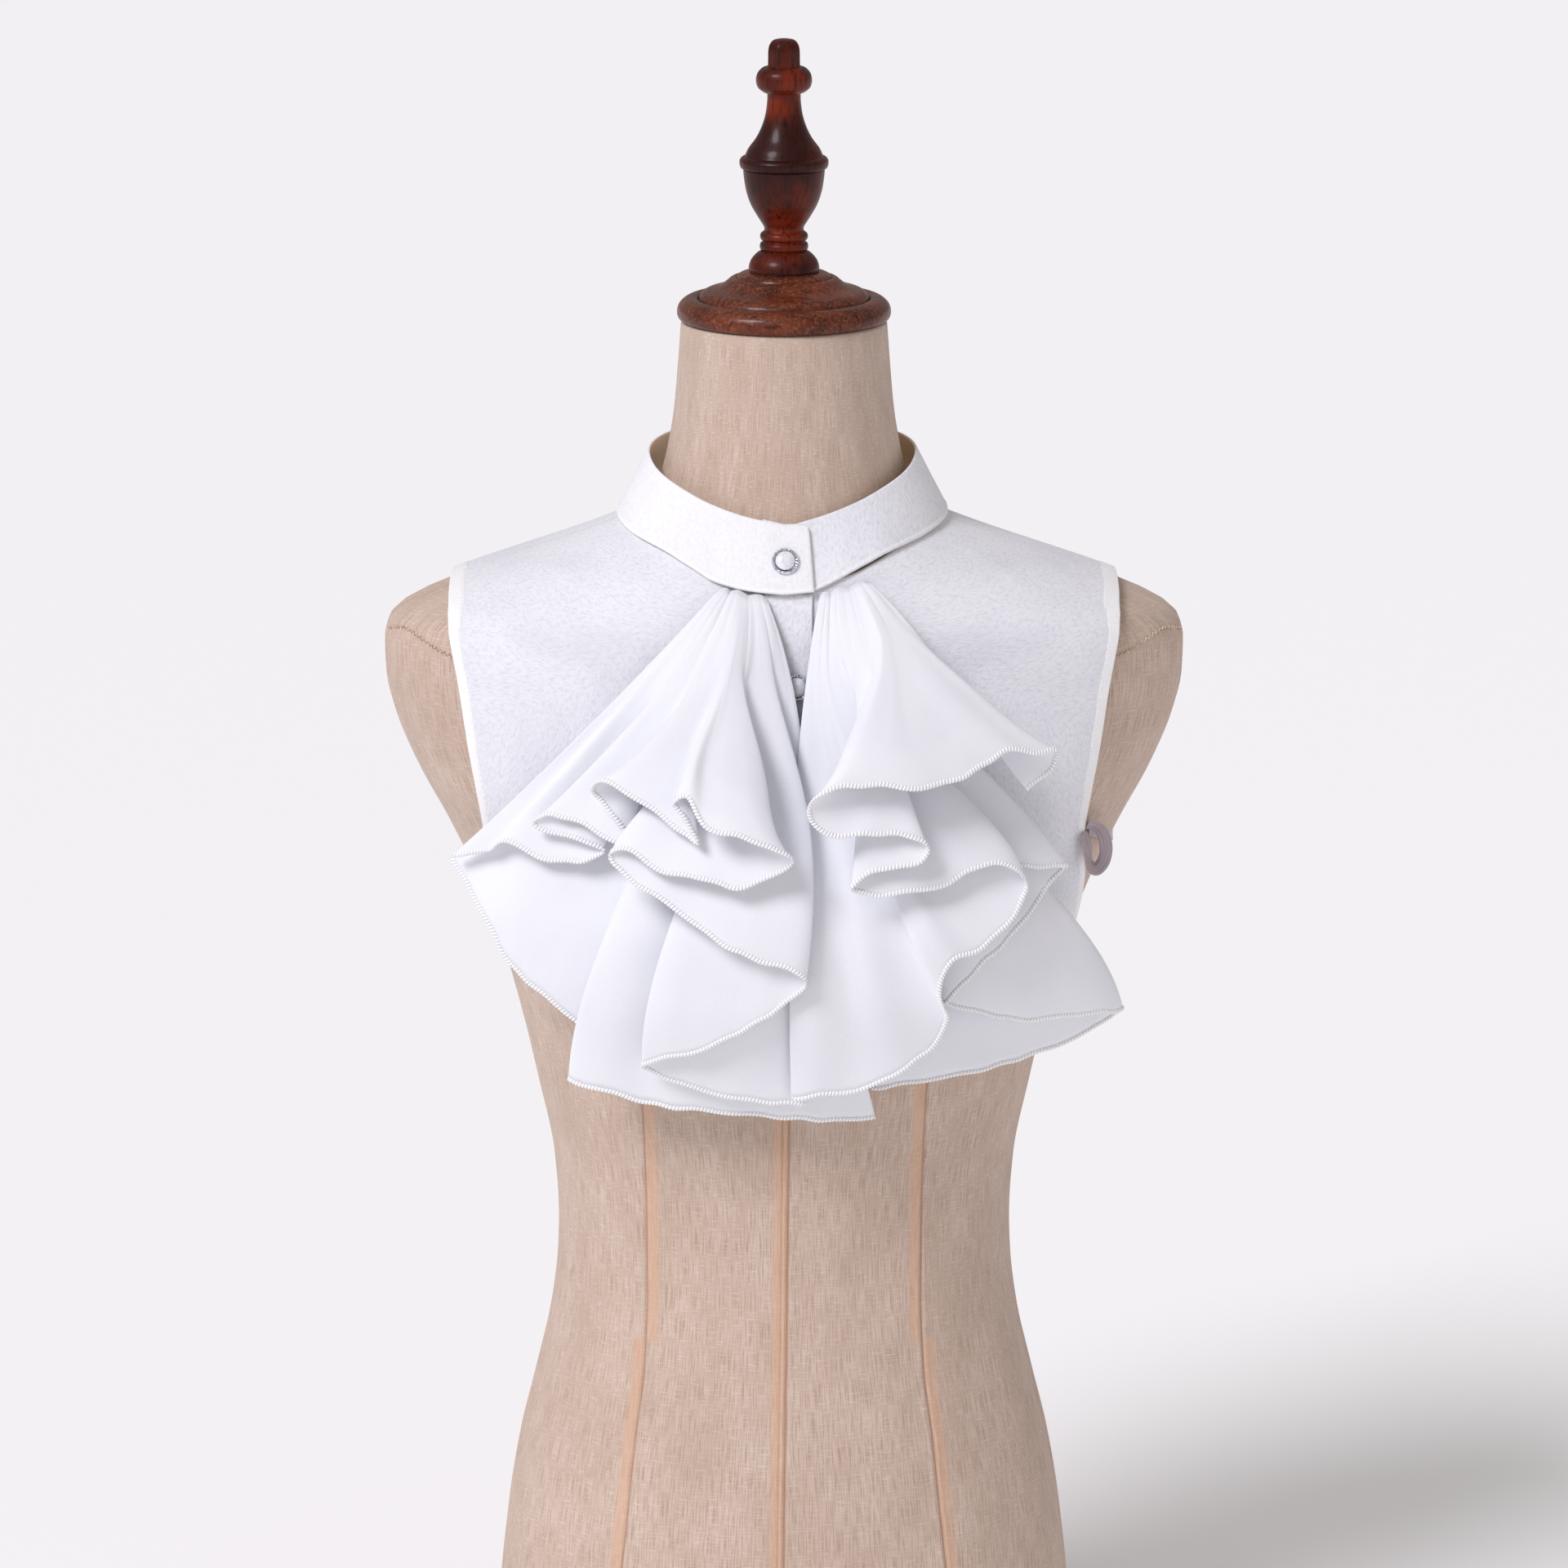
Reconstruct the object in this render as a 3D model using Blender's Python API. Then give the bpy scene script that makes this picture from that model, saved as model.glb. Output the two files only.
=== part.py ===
"""Ruffled jabot collar worn on a limbless dress form.

One named object for each piece that is cut, turned or moulded.  All sizes below are millimetres in the
part's own frame: +Z up, the wearer's front towards -Y, the viewer's right +X, and Z = 0 the flat
underside of the form.
"""
import math

import bmesh
import bpy
from mathutils import Vector

# Start from an empty scene
for old in list(bpy.data.objects):
    bpy.data.objects.remove(old, do_unlink=True)

MM = 0.001

# The padded form, a row per level: height, half width, depth in front, depth behind
FORM_LEVELS = [
    (0.0, 143.0, 102.0, 118.0),
    (60.0, 145.5, 104.0, 121.0),
    (110.0, 141.0, 102.5, 119.0),
    (150.0, 134.5, 99.0, 113.0),
    (185.0, 126.0, 95.5, 104.0),
    (220.0, 118.0, 90.0, 94.0),
    (250.0, 114.3, 86.0, 87.5),
    (270.0, 113.6, 85.0, 85.5),
    (300.0, 115.3, 87.0, 85.5),
    (340.0, 123.0, 94.0, 88.5),
    (380.0, 132.0, 105.0, 94.0),
    (420.0, 143.0, 117.0, 100.0),
    (445.0, 152.0, 119.0, 103.0),
    (475.0, 166.0, 113.0, 106.0),
    (505.0, 182.0, 106.0, 106.0),
    (530.0, 192.0, 100.5, 103.0),
    (550.0, 196.5, 96.0, 99.0),
    (566.0, 197.0, 92.5, 95.0),
    (577.0, 194.0, 90.0, 92.5),
    (584.0, 186.0, 88.0, 90.5),
    (590.0, 172.5, 86.0, 88.5),
    (597.0, 155.0, 83.5, 86.5),
    (604.0, 135.0, 80.5, 84.0),
    (611.0, 114.0, 77.5, 81.0),
    (618.0, 94.0, 74.0, 77.0),
    (625.0, 77.0, 70.0, 73.0),
    (633.0, 67.5, 65.5, 69.0),
    (643.0, 62.0, 61.0, 64.0),
    (660.0, 57.2, 57.2, 58.0),
    (680.0, 53.8, 53.8, 54.0),
    (702.0, 51.8, 51.8, 51.8),
    (723.4, 50.2, 50.2, 50.2),
]
FORM_STEPS = [0.0, 3.0, 50.0, 100.0, 145.0, 185.0, 220.0, 250.0, 285.0, 320.0, 360.0,
              400.0, 440.0, 475.0, 505.0, 530.0, 550.0, 566.0, 577.0, 584.0, 590.0, 597.0,
              604.0, 611.0, 618.0, 625.0, 633.0, 643.0, 660.0, 690.0, 722.0, 723.4]
FORM_SIDES = 40
FOOT_EASE, NECK_EASE = 2.5, 1.2   # how far the padding's lowest and highest edges are rounded in

# Turned wood: radius, height
CAP_PROFILE = [
    (0.0, 723.7), (49.8, 723.7), (51.6, 725.0), (52.2, 727.8), (51.3, 731.0), (48.6, 733.6),
    (45.2, 734.7), (42.5, 734.2), (41.7, 733.2), (40.8, 734.9), (35.5, 739.0), (29.0, 742.2),
    (24.2, 744.6), (23.2, 744.1), (22.2, 745.4), (17.5, 747.2), (0.0, 747.2),
]
CAP_SIDES = 36
FINIAL_PROFILE = [
    (0.0, 747.5), (18.6, 747.5), (18.2, 749.4), (16.2, 752.8), (12.6, 756.2), (10.7, 757.8),
    (11.7, 759.0), (11.7, 760.6), (10.4, 761.9), (10.4, 762.8), (11.4, 764.0), (11.4, 765.4),
    (9.7, 767.2), (9.6, 769.2), (12.8, 774.0), (16.2, 780.0), (18.6, 786.5), (19.9, 793.0),
    (20.5, 797.5), (21.5, 799.0), (21.6, 801.6), (20.6, 803.6), (17.4, 807.7), (13.2, 812.5),
    (10.4, 818.0), (8.7, 824.0), (8.0, 831.5), (8.6, 834.0), (12.0, 836.0), (13.5, 839.2),
    (13.4, 842.6), (11.4, 845.8), (8.2, 847.2), (8.0, 855.0), (6.4, 858.6), (3.2, 860.2), (0.0, 860.4),
]
FINIAL_SIDES = 20

# The flat pieces lie over the form: how far their two faces stand off it
PANEL_IN, PANEL_OUT = 1.6, 2.7
PLACKET_IN, PLACKET_OUT = 3.2, 4.3
SHOULDER_EASE = 1.7           # the cloth stands this much further off where the shoulder rolls over
SHOULDER_MIDDLE, SHOULDER_REACH = 582.0, 17.0   # height of that ease and how far it reaches up and down
SHOULDER_START, SHOULDER_FULL = 25.0, 85.0      # half widths at which it starts and is whole

SEAM_ANGLE = 0.12             # the shoulder seam lies this far to the front and to the back of the side
# Armhole edge of front and back, a row per point down the edge: half width, height
FRONT_ARMHOLE = [
    (162.5, 594.4), (162.2, 591.0), (161.3, 584.0), (159.5, 572.0), (156.0, 551.0), (152.0, 525.0),
    (148.0, 503.0), (145.0, 485.0), (144.5, 470.0), (145.5, 456.0), (144.0, 440.0), (141.0, 424.0),
]
BACK_ARMHOLE = [
    (162.5, 594.4), (162.2, 591.0), (161.3, 584.0), (159.5, 572.0), (156.0, 551.0), (152.0, 525.0),
    (148.0, 503.0), (145.0, 485.0), (145.0, 470.0), (146.5, 456.0), (146.5, 444.0), (144.5, 434.0),
]
# Neck edge, then down the middle to the lower edge: angle from the side, height
FRONT_NECK = [
    (SEAM_ANGLE, 626.5), (30.0, 624.5), (50.0, 621.0), (64.0, 616.0), (75.0, 611.0), (89.7, 607.5),
    (89.7, 585.0), (89.7, 555.0), (89.7, 525.0), (89.7, 490.0), (89.7, 457.0), (89.7, 424.0),
]
BACK_NECK = [
    (SEAM_ANGLE, 626.5), (22.0, 627.5), (40.0, 629.0), (58.0, 630.5), (74.0, 631.5), (89.8, 632.0),
    (89.8, 605.0), (89.8, 570.0), (89.8, 535.0), (89.8, 500.0), (89.8, 467.0), (89.8, 434.0),
]

# Stand band, a row per angle round the neck from the front: angle, lower and upper height
BAND_HEIGHTS = [
    (0.0, 605.0, 636.5), (15.0, 607.0, 639.0), (32.0, 613.0, 643.6), (50.0, 620.8, 649.4),
    (67.0, 625.6, 653.8), (90.0, 628.6, 659.0), (120.0, 632.0, 661.5), (180.0, 635.5, 663.0),
]
BAND_LOW = (81.6, 88.0, 83.0)     # lower edge: half width, depth in front, depth behind
BAND_TOP = (66.0, 70.0, 67.0)     # upper edge
BAND_WALL = 1.5
BAND_LAP = 2.7                    # the under end lies this much further in
BAND_OVER, BAND_UNDER = 10.3, -9.5  # angles of the two ends, past the front
BAND_CORNER = 6.0                 # rounding of the outer end's upper corner
BAND_CLEAR = 0.8                  # its lower edge stands at least this far off the flat pieces
BAND_STEPS, BAND_RISES = 46, 3    # stretches round the neck and up the band
BAND_END_TURNS = {1: 1.4, 2: 4.0}  # the first stretches are shorter, for the rounded corner

PLACKET_X = (-9.5, 13.5)
PLACKET_Z = (603.0, 424.0)

# A flounce: the gathered edge is one short line under the band, the hem runs through fold rows.
# A row per turn or bend of the hem: x, z, lift off the chest, sideways bow of its fold line.
LEFT_GATHER = ((-31.0, 606.8), (-8.0, 602.6))
RIGHT_GATHER = ((17.0, 603.2), (41.0, 609.8))
LEFT_UPPER_LIFT, LEFT_LOWER_LIFT = 3.2, 1.3     # how far the gathered edges stand off the resting surface
RIGHT_UPPER_LIFT, RIGHT_LOWER_LIFT = 1.5, -0.6  # beside the placket, so nearer the front
CHEST_EASE = 4.2                  # the flounces' resting surface over the form
CHEST_SPAN = 200.0

LEFT_UPPER = [
    (-160.0, 476.0, 11.0, 0.0), (-143.0, 481.0, 10.0, 0.0), (-134.0, 487.0, 12.0, 0.0),
    (-118.0, 481.0, 10.0, 0.0), (-98.0, 480.5, 10.0, 0.0), (-86.0, 487.0, 13.0, 0.0),
    (-98.0, 493.0, 16.0, 0.0), (-113.0, 494.5, 16.5, 0.0), (-119.5, 499.0, 19.0, 0.0),
    (-112.0, 504.0, 21.5, 0.0), (-97.0, 502.0, 22.0, 0.0), (-80.0, 494.0, 23.0, 0.0),
    (-74.0, 495.0, 25.5, 0.0), (-79.0, 506.0, 28.5, 0.0), (-86.0, 514.0, 30.5, 0.0),
    (-90.0, 521.0, 36.0, 0.0), (-84.0, 526.5, 43.0, 0.0), (-66.0, 518.0, 44.5, 0.0),
    (-50.0, 507.0, 45.0, 0.0), (-40.5, 501.0, 47.5, 0.0), (-46.0, 512.0, 50.5, 0.0),
    (-51.5, 521.0, 53.5, 0.0), (-45.0, 525.0, 56.5, 0.0), (-37.0, 511.0, 57.0, 0.0),
    (-20.0, 507.0, 57.0, 4.0), (-5.0, 501.0, 55.0, 10.0), (3.5, 494.0, 49.0, 14.0),
    (-6.0, 485.5, 43.5, 10.0), (-23.0, 480.0, 42.0, 4.0), (-38.0, 483.5, 41.5, 0.0),
    (-56.0, 485.5, 40.5, 0.0), (-72.0, 494.5, 40.0, 0.0), (-82.0, 492.0, 36.8, 0.0),
    (-76.0, 482.0, 34.0, 0.0), (-54.0, 469.0, 33.0, 0.0), (-34.0, 454.5, 33.0, 0.0),
    (-12.0, 444.0, 33.0, 6.0), (5.0, 438.0, 32.5, 12.0), (10.5, 431.5, 29.5, 14.0),
    (2.0, 422.0, 27.0, 11.0), (-15.0, 408.5, 26.0, 5.0), (-38.0, 395.0, 25.0, 0.0),
    (-58.0, 387.5, 24.0, 0.0), (-68.0, 382.5, 21.0, 0.0), (-57.0, 376.0, 18.5, 0.0),
    (-38.0, 369.0, 18.0, 3.0), (-20.0, 365.0, 18.0, 8.0), (-1.0, 363.0, 18.0, 12.0),
]
LEFT_LOWER = [
    (-161.0, 473.0, 3.0, 0.0), (-154.0, 461.0, 3.0, 0.0), (-143.0, 443.0, 3.5, 0.0),
    (-132.0, 424.0, 3.0, 0.0), (-119.0, 412.0, 2.0, 0.0), (-102.0, 399.0, 1.5, 0.0),
    (-84.0, 386.0, 2.5, 0.0), (-82.0, 384.0, 6.5, 0.0), (-92.0, 377.0, 8.5, 0.0),
    (-103.0, 369.5, 10.5, 0.0), (-102.5, 368.5, 14.0, 0.0), (-88.0, 365.0, 15.5, 0.0),
    (-68.0, 360.0, 14.5, 0.0), (-44.0, 357.0, 15.0, 0.0), (-20.0, 355.0, 14.0, 0.0),
    (4.0, 353.0, 14.5, -5.0), (24.0, 351.0, 13.5, -8.0), (44.0, 353.0, 13.5, -9.0),
]
RIGHT_UPPER = [
    (3.5, 367.0, 23.0, -5.0), (18.0, 369.0, 25.0, -4.0), (37.0, 371.0, 23.5, -2.0),
    (55.0, 381.0, 26.0, 0.0), (72.0, 394.0, 24.0, 0.0), (77.5, 408.0, 25.0, 0.0),
    (74.0, 424.0, 29.0, 0.0), (79.0, 439.0, 31.5, 0.0), (91.0, 443.0, 29.5, 0.0),
    (105.0, 454.0, 30.0, 0.0), (113.0, 465.0, 31.0, 2.0), (115.5, 474.0, 34.5, 3.0),
    (108.0, 484.0, 38.0, 2.0), (94.0, 486.0, 39.0, 0.0), (78.0, 478.0, 37.5, 0.0),
    (60.0, 476.0, 39.0, 0.0), (42.0, 475.0, 40.0, 0.0), (32.0, 479.0, 43.0, 0.0),
    (39.0, 486.0, 46.0, 0.0), (53.0, 490.0, 46.5, 0.0), (64.0, 491.0, 47.5, 0.0),
    (68.0, 497.5, 50.0, 0.0), (61.0, 504.0, 52.5, 0.0), (43.0, 507.0, 53.5, 0.0),
    (25.0, 506.0, 55.0, -2.0), (13.5, 513.0, 58.0, -5.0), (12.5, 522.0, 62.0, -5.0),
    (23.0, 530.5, 65.0, -3.0), (45.0, 531.0, 64.0, 0.0), (66.0, 529.0, 61.0, 0.0),
    (86.0, 532.0, 56.0, 3.0), (105.0, 541.0, 50.0, 6.0), (120.0, 538.0, 47.0, 8.0),
    (130.0, 537.0, 43.0, 9.0), (126.5, 528.0, 38.5, 8.0), (115.0, 519.0, 37.0, 6.0),
]
RIGHT_LOWER = [
    (42.0, 364.5, 3.0, 0.0), (68.0, 367.0, 3.0, 2.0), (94.0, 371.0, 3.5, 6.0),
    (120.0, 376.0, 2.5, 14.0), (146.0, 384.0, 2.5, 24.0), (164.0, 392.5, 4.0, 30.0),
    (163.5, 394.5, 8.5, 30.0), (148.0, 397.0, 10.5, 24.0), (120.0, 398.0, 10.0, 12.0),
    (97.0, 404.0, 10.0, 4.0), (78.0, 412.0, 12.0, 0.0), (79.0, 415.0, 15.5, 0.0),
    (92.0, 430.0, 17.0, 0.0), (107.0, 443.0, 16.0, 2.0), (121.0, 460.0, 16.0, 5.0),
    (134.0, 474.5, 17.5, 8.0), (133.0, 476.5, 21.0, 8.0), (108.0, 480.0, 22.5, 4.0),
]
FLOUNCE_WALL = 1.0
FLOUNCE_LEVELS = [0.0, 0.08, 0.16, 0.24, 0.32, 0.42, 0.54, 0.68, 0.84, 1.0]
FOLD_RISE = 2.2               # how early the folds stand off the chest
FOLD_START, FOLD_SPREAD = 0.15, 1.3   # how far down they begin to overlap sideways, and how slowly
FOLD_OWN = 0.3                # share of its own lift a fold has at the gather, the rest is one swell
FOLD_TENT = (0.2, 0.6)        # shares down where the single swell ends and the separate folds are whole
BOW_TENT = (0.05, 0.65)       # the same for the sideways bows
BOW_SCALE = 6.75              # makes t (1 - t)^2 reach 1 at its crest, so that a bow is in millimetres
NORMAL_STEP = (0.05, 0.01)    # steps along the hem rows and down the cloth for its direction
FINE_BEND = 40.0              # sharper turns of the hem, in degrees, get a point between the rows

# Buttons: radius and height off the back of the rim and of the pearl
RIM_PROFILE = [(0.0, 0.0), (6.3, 0.0), (6.75, 0.7), (6.6, 1.6), (5.9, 2.2), (5.1, 1.9), (4.9, 1.1), (0.0, 1.1)]
PEARL_PROFILE = [(0.0, 1.4), (4.4, 1.4), (4.55, 1.9), (3.9, 2.7), (2.3, 3.3), (0.0, 3.5)]

RIM_SIDES, PEARL_SIDES = 18, 16
UPPER_BUTTON, UPPER_TILT = (0.6, -80.6, 619.8), 29.0  # middle of its back, and its tilt towards the sky
LOWER_BUTTON, LOWER_TILT = (6.0, 562.0), 14.0         # x and z, on the placket
BUTTON_GAP = 0.6                                      # from the placket's face to the button's back

# Satin side ties
TIE_WIDTH, TIE_WALL = 6.5, 1.0
RIGHT_STRAP = [(30.2, 482.5), (18.0, 474.0), (0.0, 466.0), (-11.0, 463.0), (-20.6, 460.5)]
LEFT_STRAP = [(26.4, 470.5), (15.0, 463.0), (0.0, 456.5), (-9.0, 454.2), (-16.5, 452.5)]  # lower, under the flounce
LOOP_PATH = [
    (147.9, -62.6, 485.4), (152.9, -61.1, 484.9), (158.9, -58.6, 480.4), (161.9, -56.6, 472.9),
    (159.9, -56.1, 464.4), (154.9, -57.1, 459.4), (149.4, -59.1, 460.4), (146.4, -61.1, 467.4),
    (145.9, -62.6, 475.4), (145.4, -63.6, 480.9),
]
LEFT_TUCK = (15.0, -12.0, -4.0)  # the left loop hangs behind the flounce
STRAP_STEPS, LOOP_STEPS = 9, 18
LOOP_TURN = (0.85, -0.5)          # the loop's ribbon faces out of the loop by this much, and forward by this


def hermite(table, at):
    """Smooth curve through a table whose first column rises; returns the other columns at one value."""
    keys = [row[0] for row in table]
    at = min(max(at, keys[0]), keys[-1])
    i = 0
    while i < len(keys) - 2 and at > keys[i + 1]:
        i += 1
    span = keys[i + 1] - keys[i]
    u = (at - keys[i]) / span
    out = []
    for c in range(1, len(table[0])):
        p0, p1 = table[i][c], table[i + 1][c]
        step = (p1 - p0) / span
        before = (p0 - table[i - 1][c]) / (keys[i] - keys[i - 1]) if i > 0 else step
        after = (table[i + 2][c] - p1) / (keys[i + 2] - keys[i + 1]) if i + 2 < len(keys) else step
        m0 = 2 * before * step / (before + step) if before * step > 0 else 0.0
        m1 = 2 * step * after / (step + after) if step * after > 0 else 0.0
        out.append((2 * u ** 3 - 3 * u ** 2 + 1) * p0 + (u ** 3 - 2 * u ** 2 + u) * span * m0
                   + (3 * u ** 2 - 2 * u ** 3) * p1 + (u ** 3 - u ** 2) * span * m1)
    return out


def spline(points, index, share):
    """Point between two rows of a list, on the smooth curve through them and their neighbours."""
    a = points[max(index - 1, 0)]
    b, c = points[index], points[index + 1]
    d = points[min(index + 2, len(points) - 1)]
    u = share
    return tuple(0.5 * (2 * b[k] + (c[k] - a[k]) * u + (2 * a[k] - 5 * b[k] + 4 * c[k] - d[k]) * u ** 2
                        + (3 * b[k] - a[k] - 3 * c[k] + d[k]) * u ** 3) for k in range(len(b)))


def along(points, share):
    """Point at a share from 0 to 1 along a list of rows, on the smooth curve through them."""
    place = min(max(share, 0.0), 1.0) * (len(points) - 1)
    index = min(int(place), len(points) - 2)
    return spline(points, index, place - index)


def form_point(angle, z, off=0.0):
    """Point on the form at an angle from the viewer's right, positive towards the front; off stands clear."""
    width, front, back = hermite(FORM_LEVELS, z)
    rad = math.radians(angle)
    depth = front if math.sin(rad) > 0 else back
    here = Vector((width * math.cos(rad), -depth * math.sin(rad), z))
    if not off:
        return here
    w2, f2, b2 = hermite(FORM_LEVELS, z + 0.5)
    w1, f1, b1 = hermite(FORM_LEVELS, z - 0.5)
    d2, d1 = (f2, f1) if math.sin(rad) > 0 else (b2, b1)
    round_way = Vector((-width * math.sin(rad), -depth * math.cos(rad), 0.0))
    up_way = Vector(((w2 - w1) * math.cos(rad), -(d2 - d1) * math.sin(rad), 1.0))
    normal = round_way.cross(up_way).normalized()
    if normal.dot(Vector((here.x / width ** 2, here.y / depth ** 2, 0.0))) < 0:
        normal = -normal
    return here + normal * off


def add_object(name, verts, faces, material, smooth=True):
    """Make one closed object from millimetre points, faces turned outward."""
    mesh = bpy.data.meshes.new(name)
    work = bmesh.new()
    made = [work.verts.new((p[0] * MM, p[1] * MM, p[2] * MM)) for p in verts]
    for face in faces:
        work.faces.new([made[i] for i in face])
    bmesh.ops.recalc_face_normals(work, faces=work.faces)
    if work.calc_volume(signed=True) < 0:
        bmesh.ops.reverse_faces(work, faces=work.faces)
    for face in work.faces:
        face.smooth = smooth
    work.to_mesh(mesh)
    work.free()
    made_object = bpy.data.objects.new(name, mesh)
    made_object.data.materials.append(material)
    bpy.context.scene.collection.objects.link(made_object)
    return made_object


def make_material(name, colour, roughness, metallic=0.0):
    """Principled material with one plain colour."""
    material = bpy.data.materials.new(name)
    material.use_nodes = True
    shader = next(n for n in material.node_tree.nodes if n.type == "BSDF_PRINCIPLED")
    shader.inputs["Base Color"].default_value = (*colour, 1.0)
    shader.inputs["Roughness"].default_value = roughness
    shader.inputs["Metallic"].default_value = metallic
    material.diffuse_color = (*colour, 1.0)
    return material


def turned(name, profile, sides, material, place=None):
    """Solid of revolution about Z from a profile that begins and ends on the axis."""
    place = place or (lambda p: p)
    verts, faces = [], []
    rings = profile[1:-1]
    for radius, z in rings:
        for k in range(sides):
            a = 2 * math.pi * k / sides
            verts.append(place(Vector((radius * math.cos(a), radius * math.sin(a), z))))
    low = len(verts)
    verts.append(place(Vector((0.0, 0.0, profile[0][1]))))
    top = len(verts)
    verts.append(place(Vector((0.0, 0.0, profile[-1][1]))))
    for r in range(len(rings) - 1):
        for k in range(sides):
            n = (k + 1) % sides
            faces.append((r * sides + k, r * sides + n, (r + 1) * sides + n, (r + 1) * sides + k))
    last = (len(rings) - 1) * sides
    for k in range(sides):
        n = (k + 1) % sides
        faces.append((low, n, k))
        faces.append((top, last + k, last + n))
    return add_object(name, verts, faces, material)


def sheet(name, inner, outer, material):
    """Closed wall between two grids of points of the same shape."""
    rows, cols = len(inner), len(inner[0])
    verts = [p for row in inner for p in row] + [p for row in outer for p in row]
    half = rows * cols
    faces = []

    def at(r, c, side):
        return side * half + r * cols + c

    for r in range(rows - 1):
        for c in range(cols - 1):
            faces.append((at(r, c, 0), at(r, c + 1, 0), at(r + 1, c + 1, 0), at(r + 1, c, 0)))
            faces.append((at(r, c, 1), at(r + 1, c, 1), at(r + 1, c + 1, 1), at(r, c + 1, 1)))
    for c in range(cols - 1):
        faces.append((at(0, c, 0), at(0, c, 1), at(0, c + 1, 1), at(0, c + 1, 0)))
        e = rows - 1
        faces.append((at(e, c, 0), at(e, c + 1, 0), at(e, c + 1, 1), at(e, c, 1)))
    for r in range(rows - 1):
        faces.append((at(r, 0, 0), at(r + 1, 0, 0), at(r + 1, 0, 1), at(r, 0, 1)))
        e = cols - 1
        faces.append((at(r, e, 0), at(r, e, 1), at(r + 1, e, 1), at(r + 1, e, 0)))
    return add_object(name, verts, faces, material)


# The form
def build_form(material):
    verts, faces = [], []
    for index, z in enumerate(FORM_STEPS):
        width, front, back = hermite(FORM_LEVELS, z)
        rounding = {0: FOOT_EASE, len(FORM_STEPS) - 1: NECK_EASE}.get(index, 0.0)
        for k in range(FORM_SIDES):
            a = 2 * math.pi * (k + 0.5) / FORM_SIDES
            depth = front if math.sin(a) > 0 else back
            verts.append((math.cos(a) * (width - rounding), -math.sin(a) * (depth - rounding), z))
    n = FORM_SIDES
    for r in range(len(FORM_STEPS) - 1):
        for k in range(n):
            m = (k + 1) % n
            faces.append((r * n + k, r * n + m, (r + 1) * n + m, (r + 1) * n + k))
    faces.append(tuple(range(n)))
    last = (len(FORM_STEPS) - 1) * n
    faces.append(tuple(last + k for k in reversed(range(n))))
    made = add_object("form_torso", verts, faces, material)
    for face in made.data.polygons:
        if len(face.vertices) > 4:
            face.use_smooth = False
    return made


# The flat pieces: half a front or half a back, between the neck line and the armhole line
def shoulder_ease(angle, z):
    """Cloth stands a little further off where the shoulder rolls over."""
    beside = (abs(form_point(angle, z).x) - SHOULDER_START) / (SHOULDER_FULL - SHOULDER_START)
    reach = math.exp(-((z - SHOULDER_MIDDLE) / SHOULDER_REACH) ** 2)
    return SHOULDER_EASE * min(max(beside, 0.0), 1.0) * reach


def patch(name, side, back, material, cols, rows):
    """One flat piece as a wall over the form; side is -1 for the viewer's left and +1 for the right."""
    armhole, neck = (BACK_ARMHOLE, BACK_NECK) if back else (FRONT_ARMHOLE, FRONT_NECK)
    grids = []
    for off in (PANEL_IN, PANEL_OUT):
        grid = []
        for r in range(rows + 1):
            half, edge_z = along(armhole, r / rows)
            width = hermite(FORM_LEVELS, edge_z)[0]
            edge_a = math.degrees(math.acos(min(half / width, math.cos(math.radians(SEAM_ANGLE)))))
            neck_a, neck_z = along(neck, r / rows)
            neck_a = min(neck_a, neck[-1][0])
            line = []
            for c in range(cols + 1):
                u = c / cols
                angle = neck_a + (edge_a - neck_a) * u
                z = neck_z + (edge_z - neck_z) * u
                shown = 180.0 - angle if side < 0 else angle
                line.append(form_point(-shown if back else shown, z, off + shoulder_ease(angle, z)))
            grid.append(line)
        grids.append(grid)
    return sheet(name, grids[0], grids[1], material)


def build_placket(material):
    rows = 12
    grids = []
    for off in (PLACKET_IN, PLACKET_OUT):
        grid = []
        for r in range(rows + 1):
            z = PLACKET_Z[0] + (PLACKET_Z[1] - PLACKET_Z[0]) * r / rows
            width = hermite(FORM_LEVELS, z)[0]
            line = []
            for c in range(3):
                x = PLACKET_X[0] + (PLACKET_X[1] - PLACKET_X[0]) * c / 2
                line.append(form_point(math.degrees(math.acos(x / width)), z, off))
            grid.append(line)
        grids.append(grid)
    return sheet("placket", grids[0], grids[1], material)


def clearance(p):
    """Distance of a point from the form's smooth surface, close to it."""
    def ratio(x, y, z):
        width, front, back = hermite(FORM_LEVELS, z)
        return math.hypot(x / width, y / (front if y < 0 else back))

    here = ratio(*p)
    slope = [(ratio(*(p[k] + 0.2 * (k == i) for k in range(3))) - here) / 0.2 for i in range(3)]
    return (here - 1.0) / math.sqrt(sum(v * v for v in slope))


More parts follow.
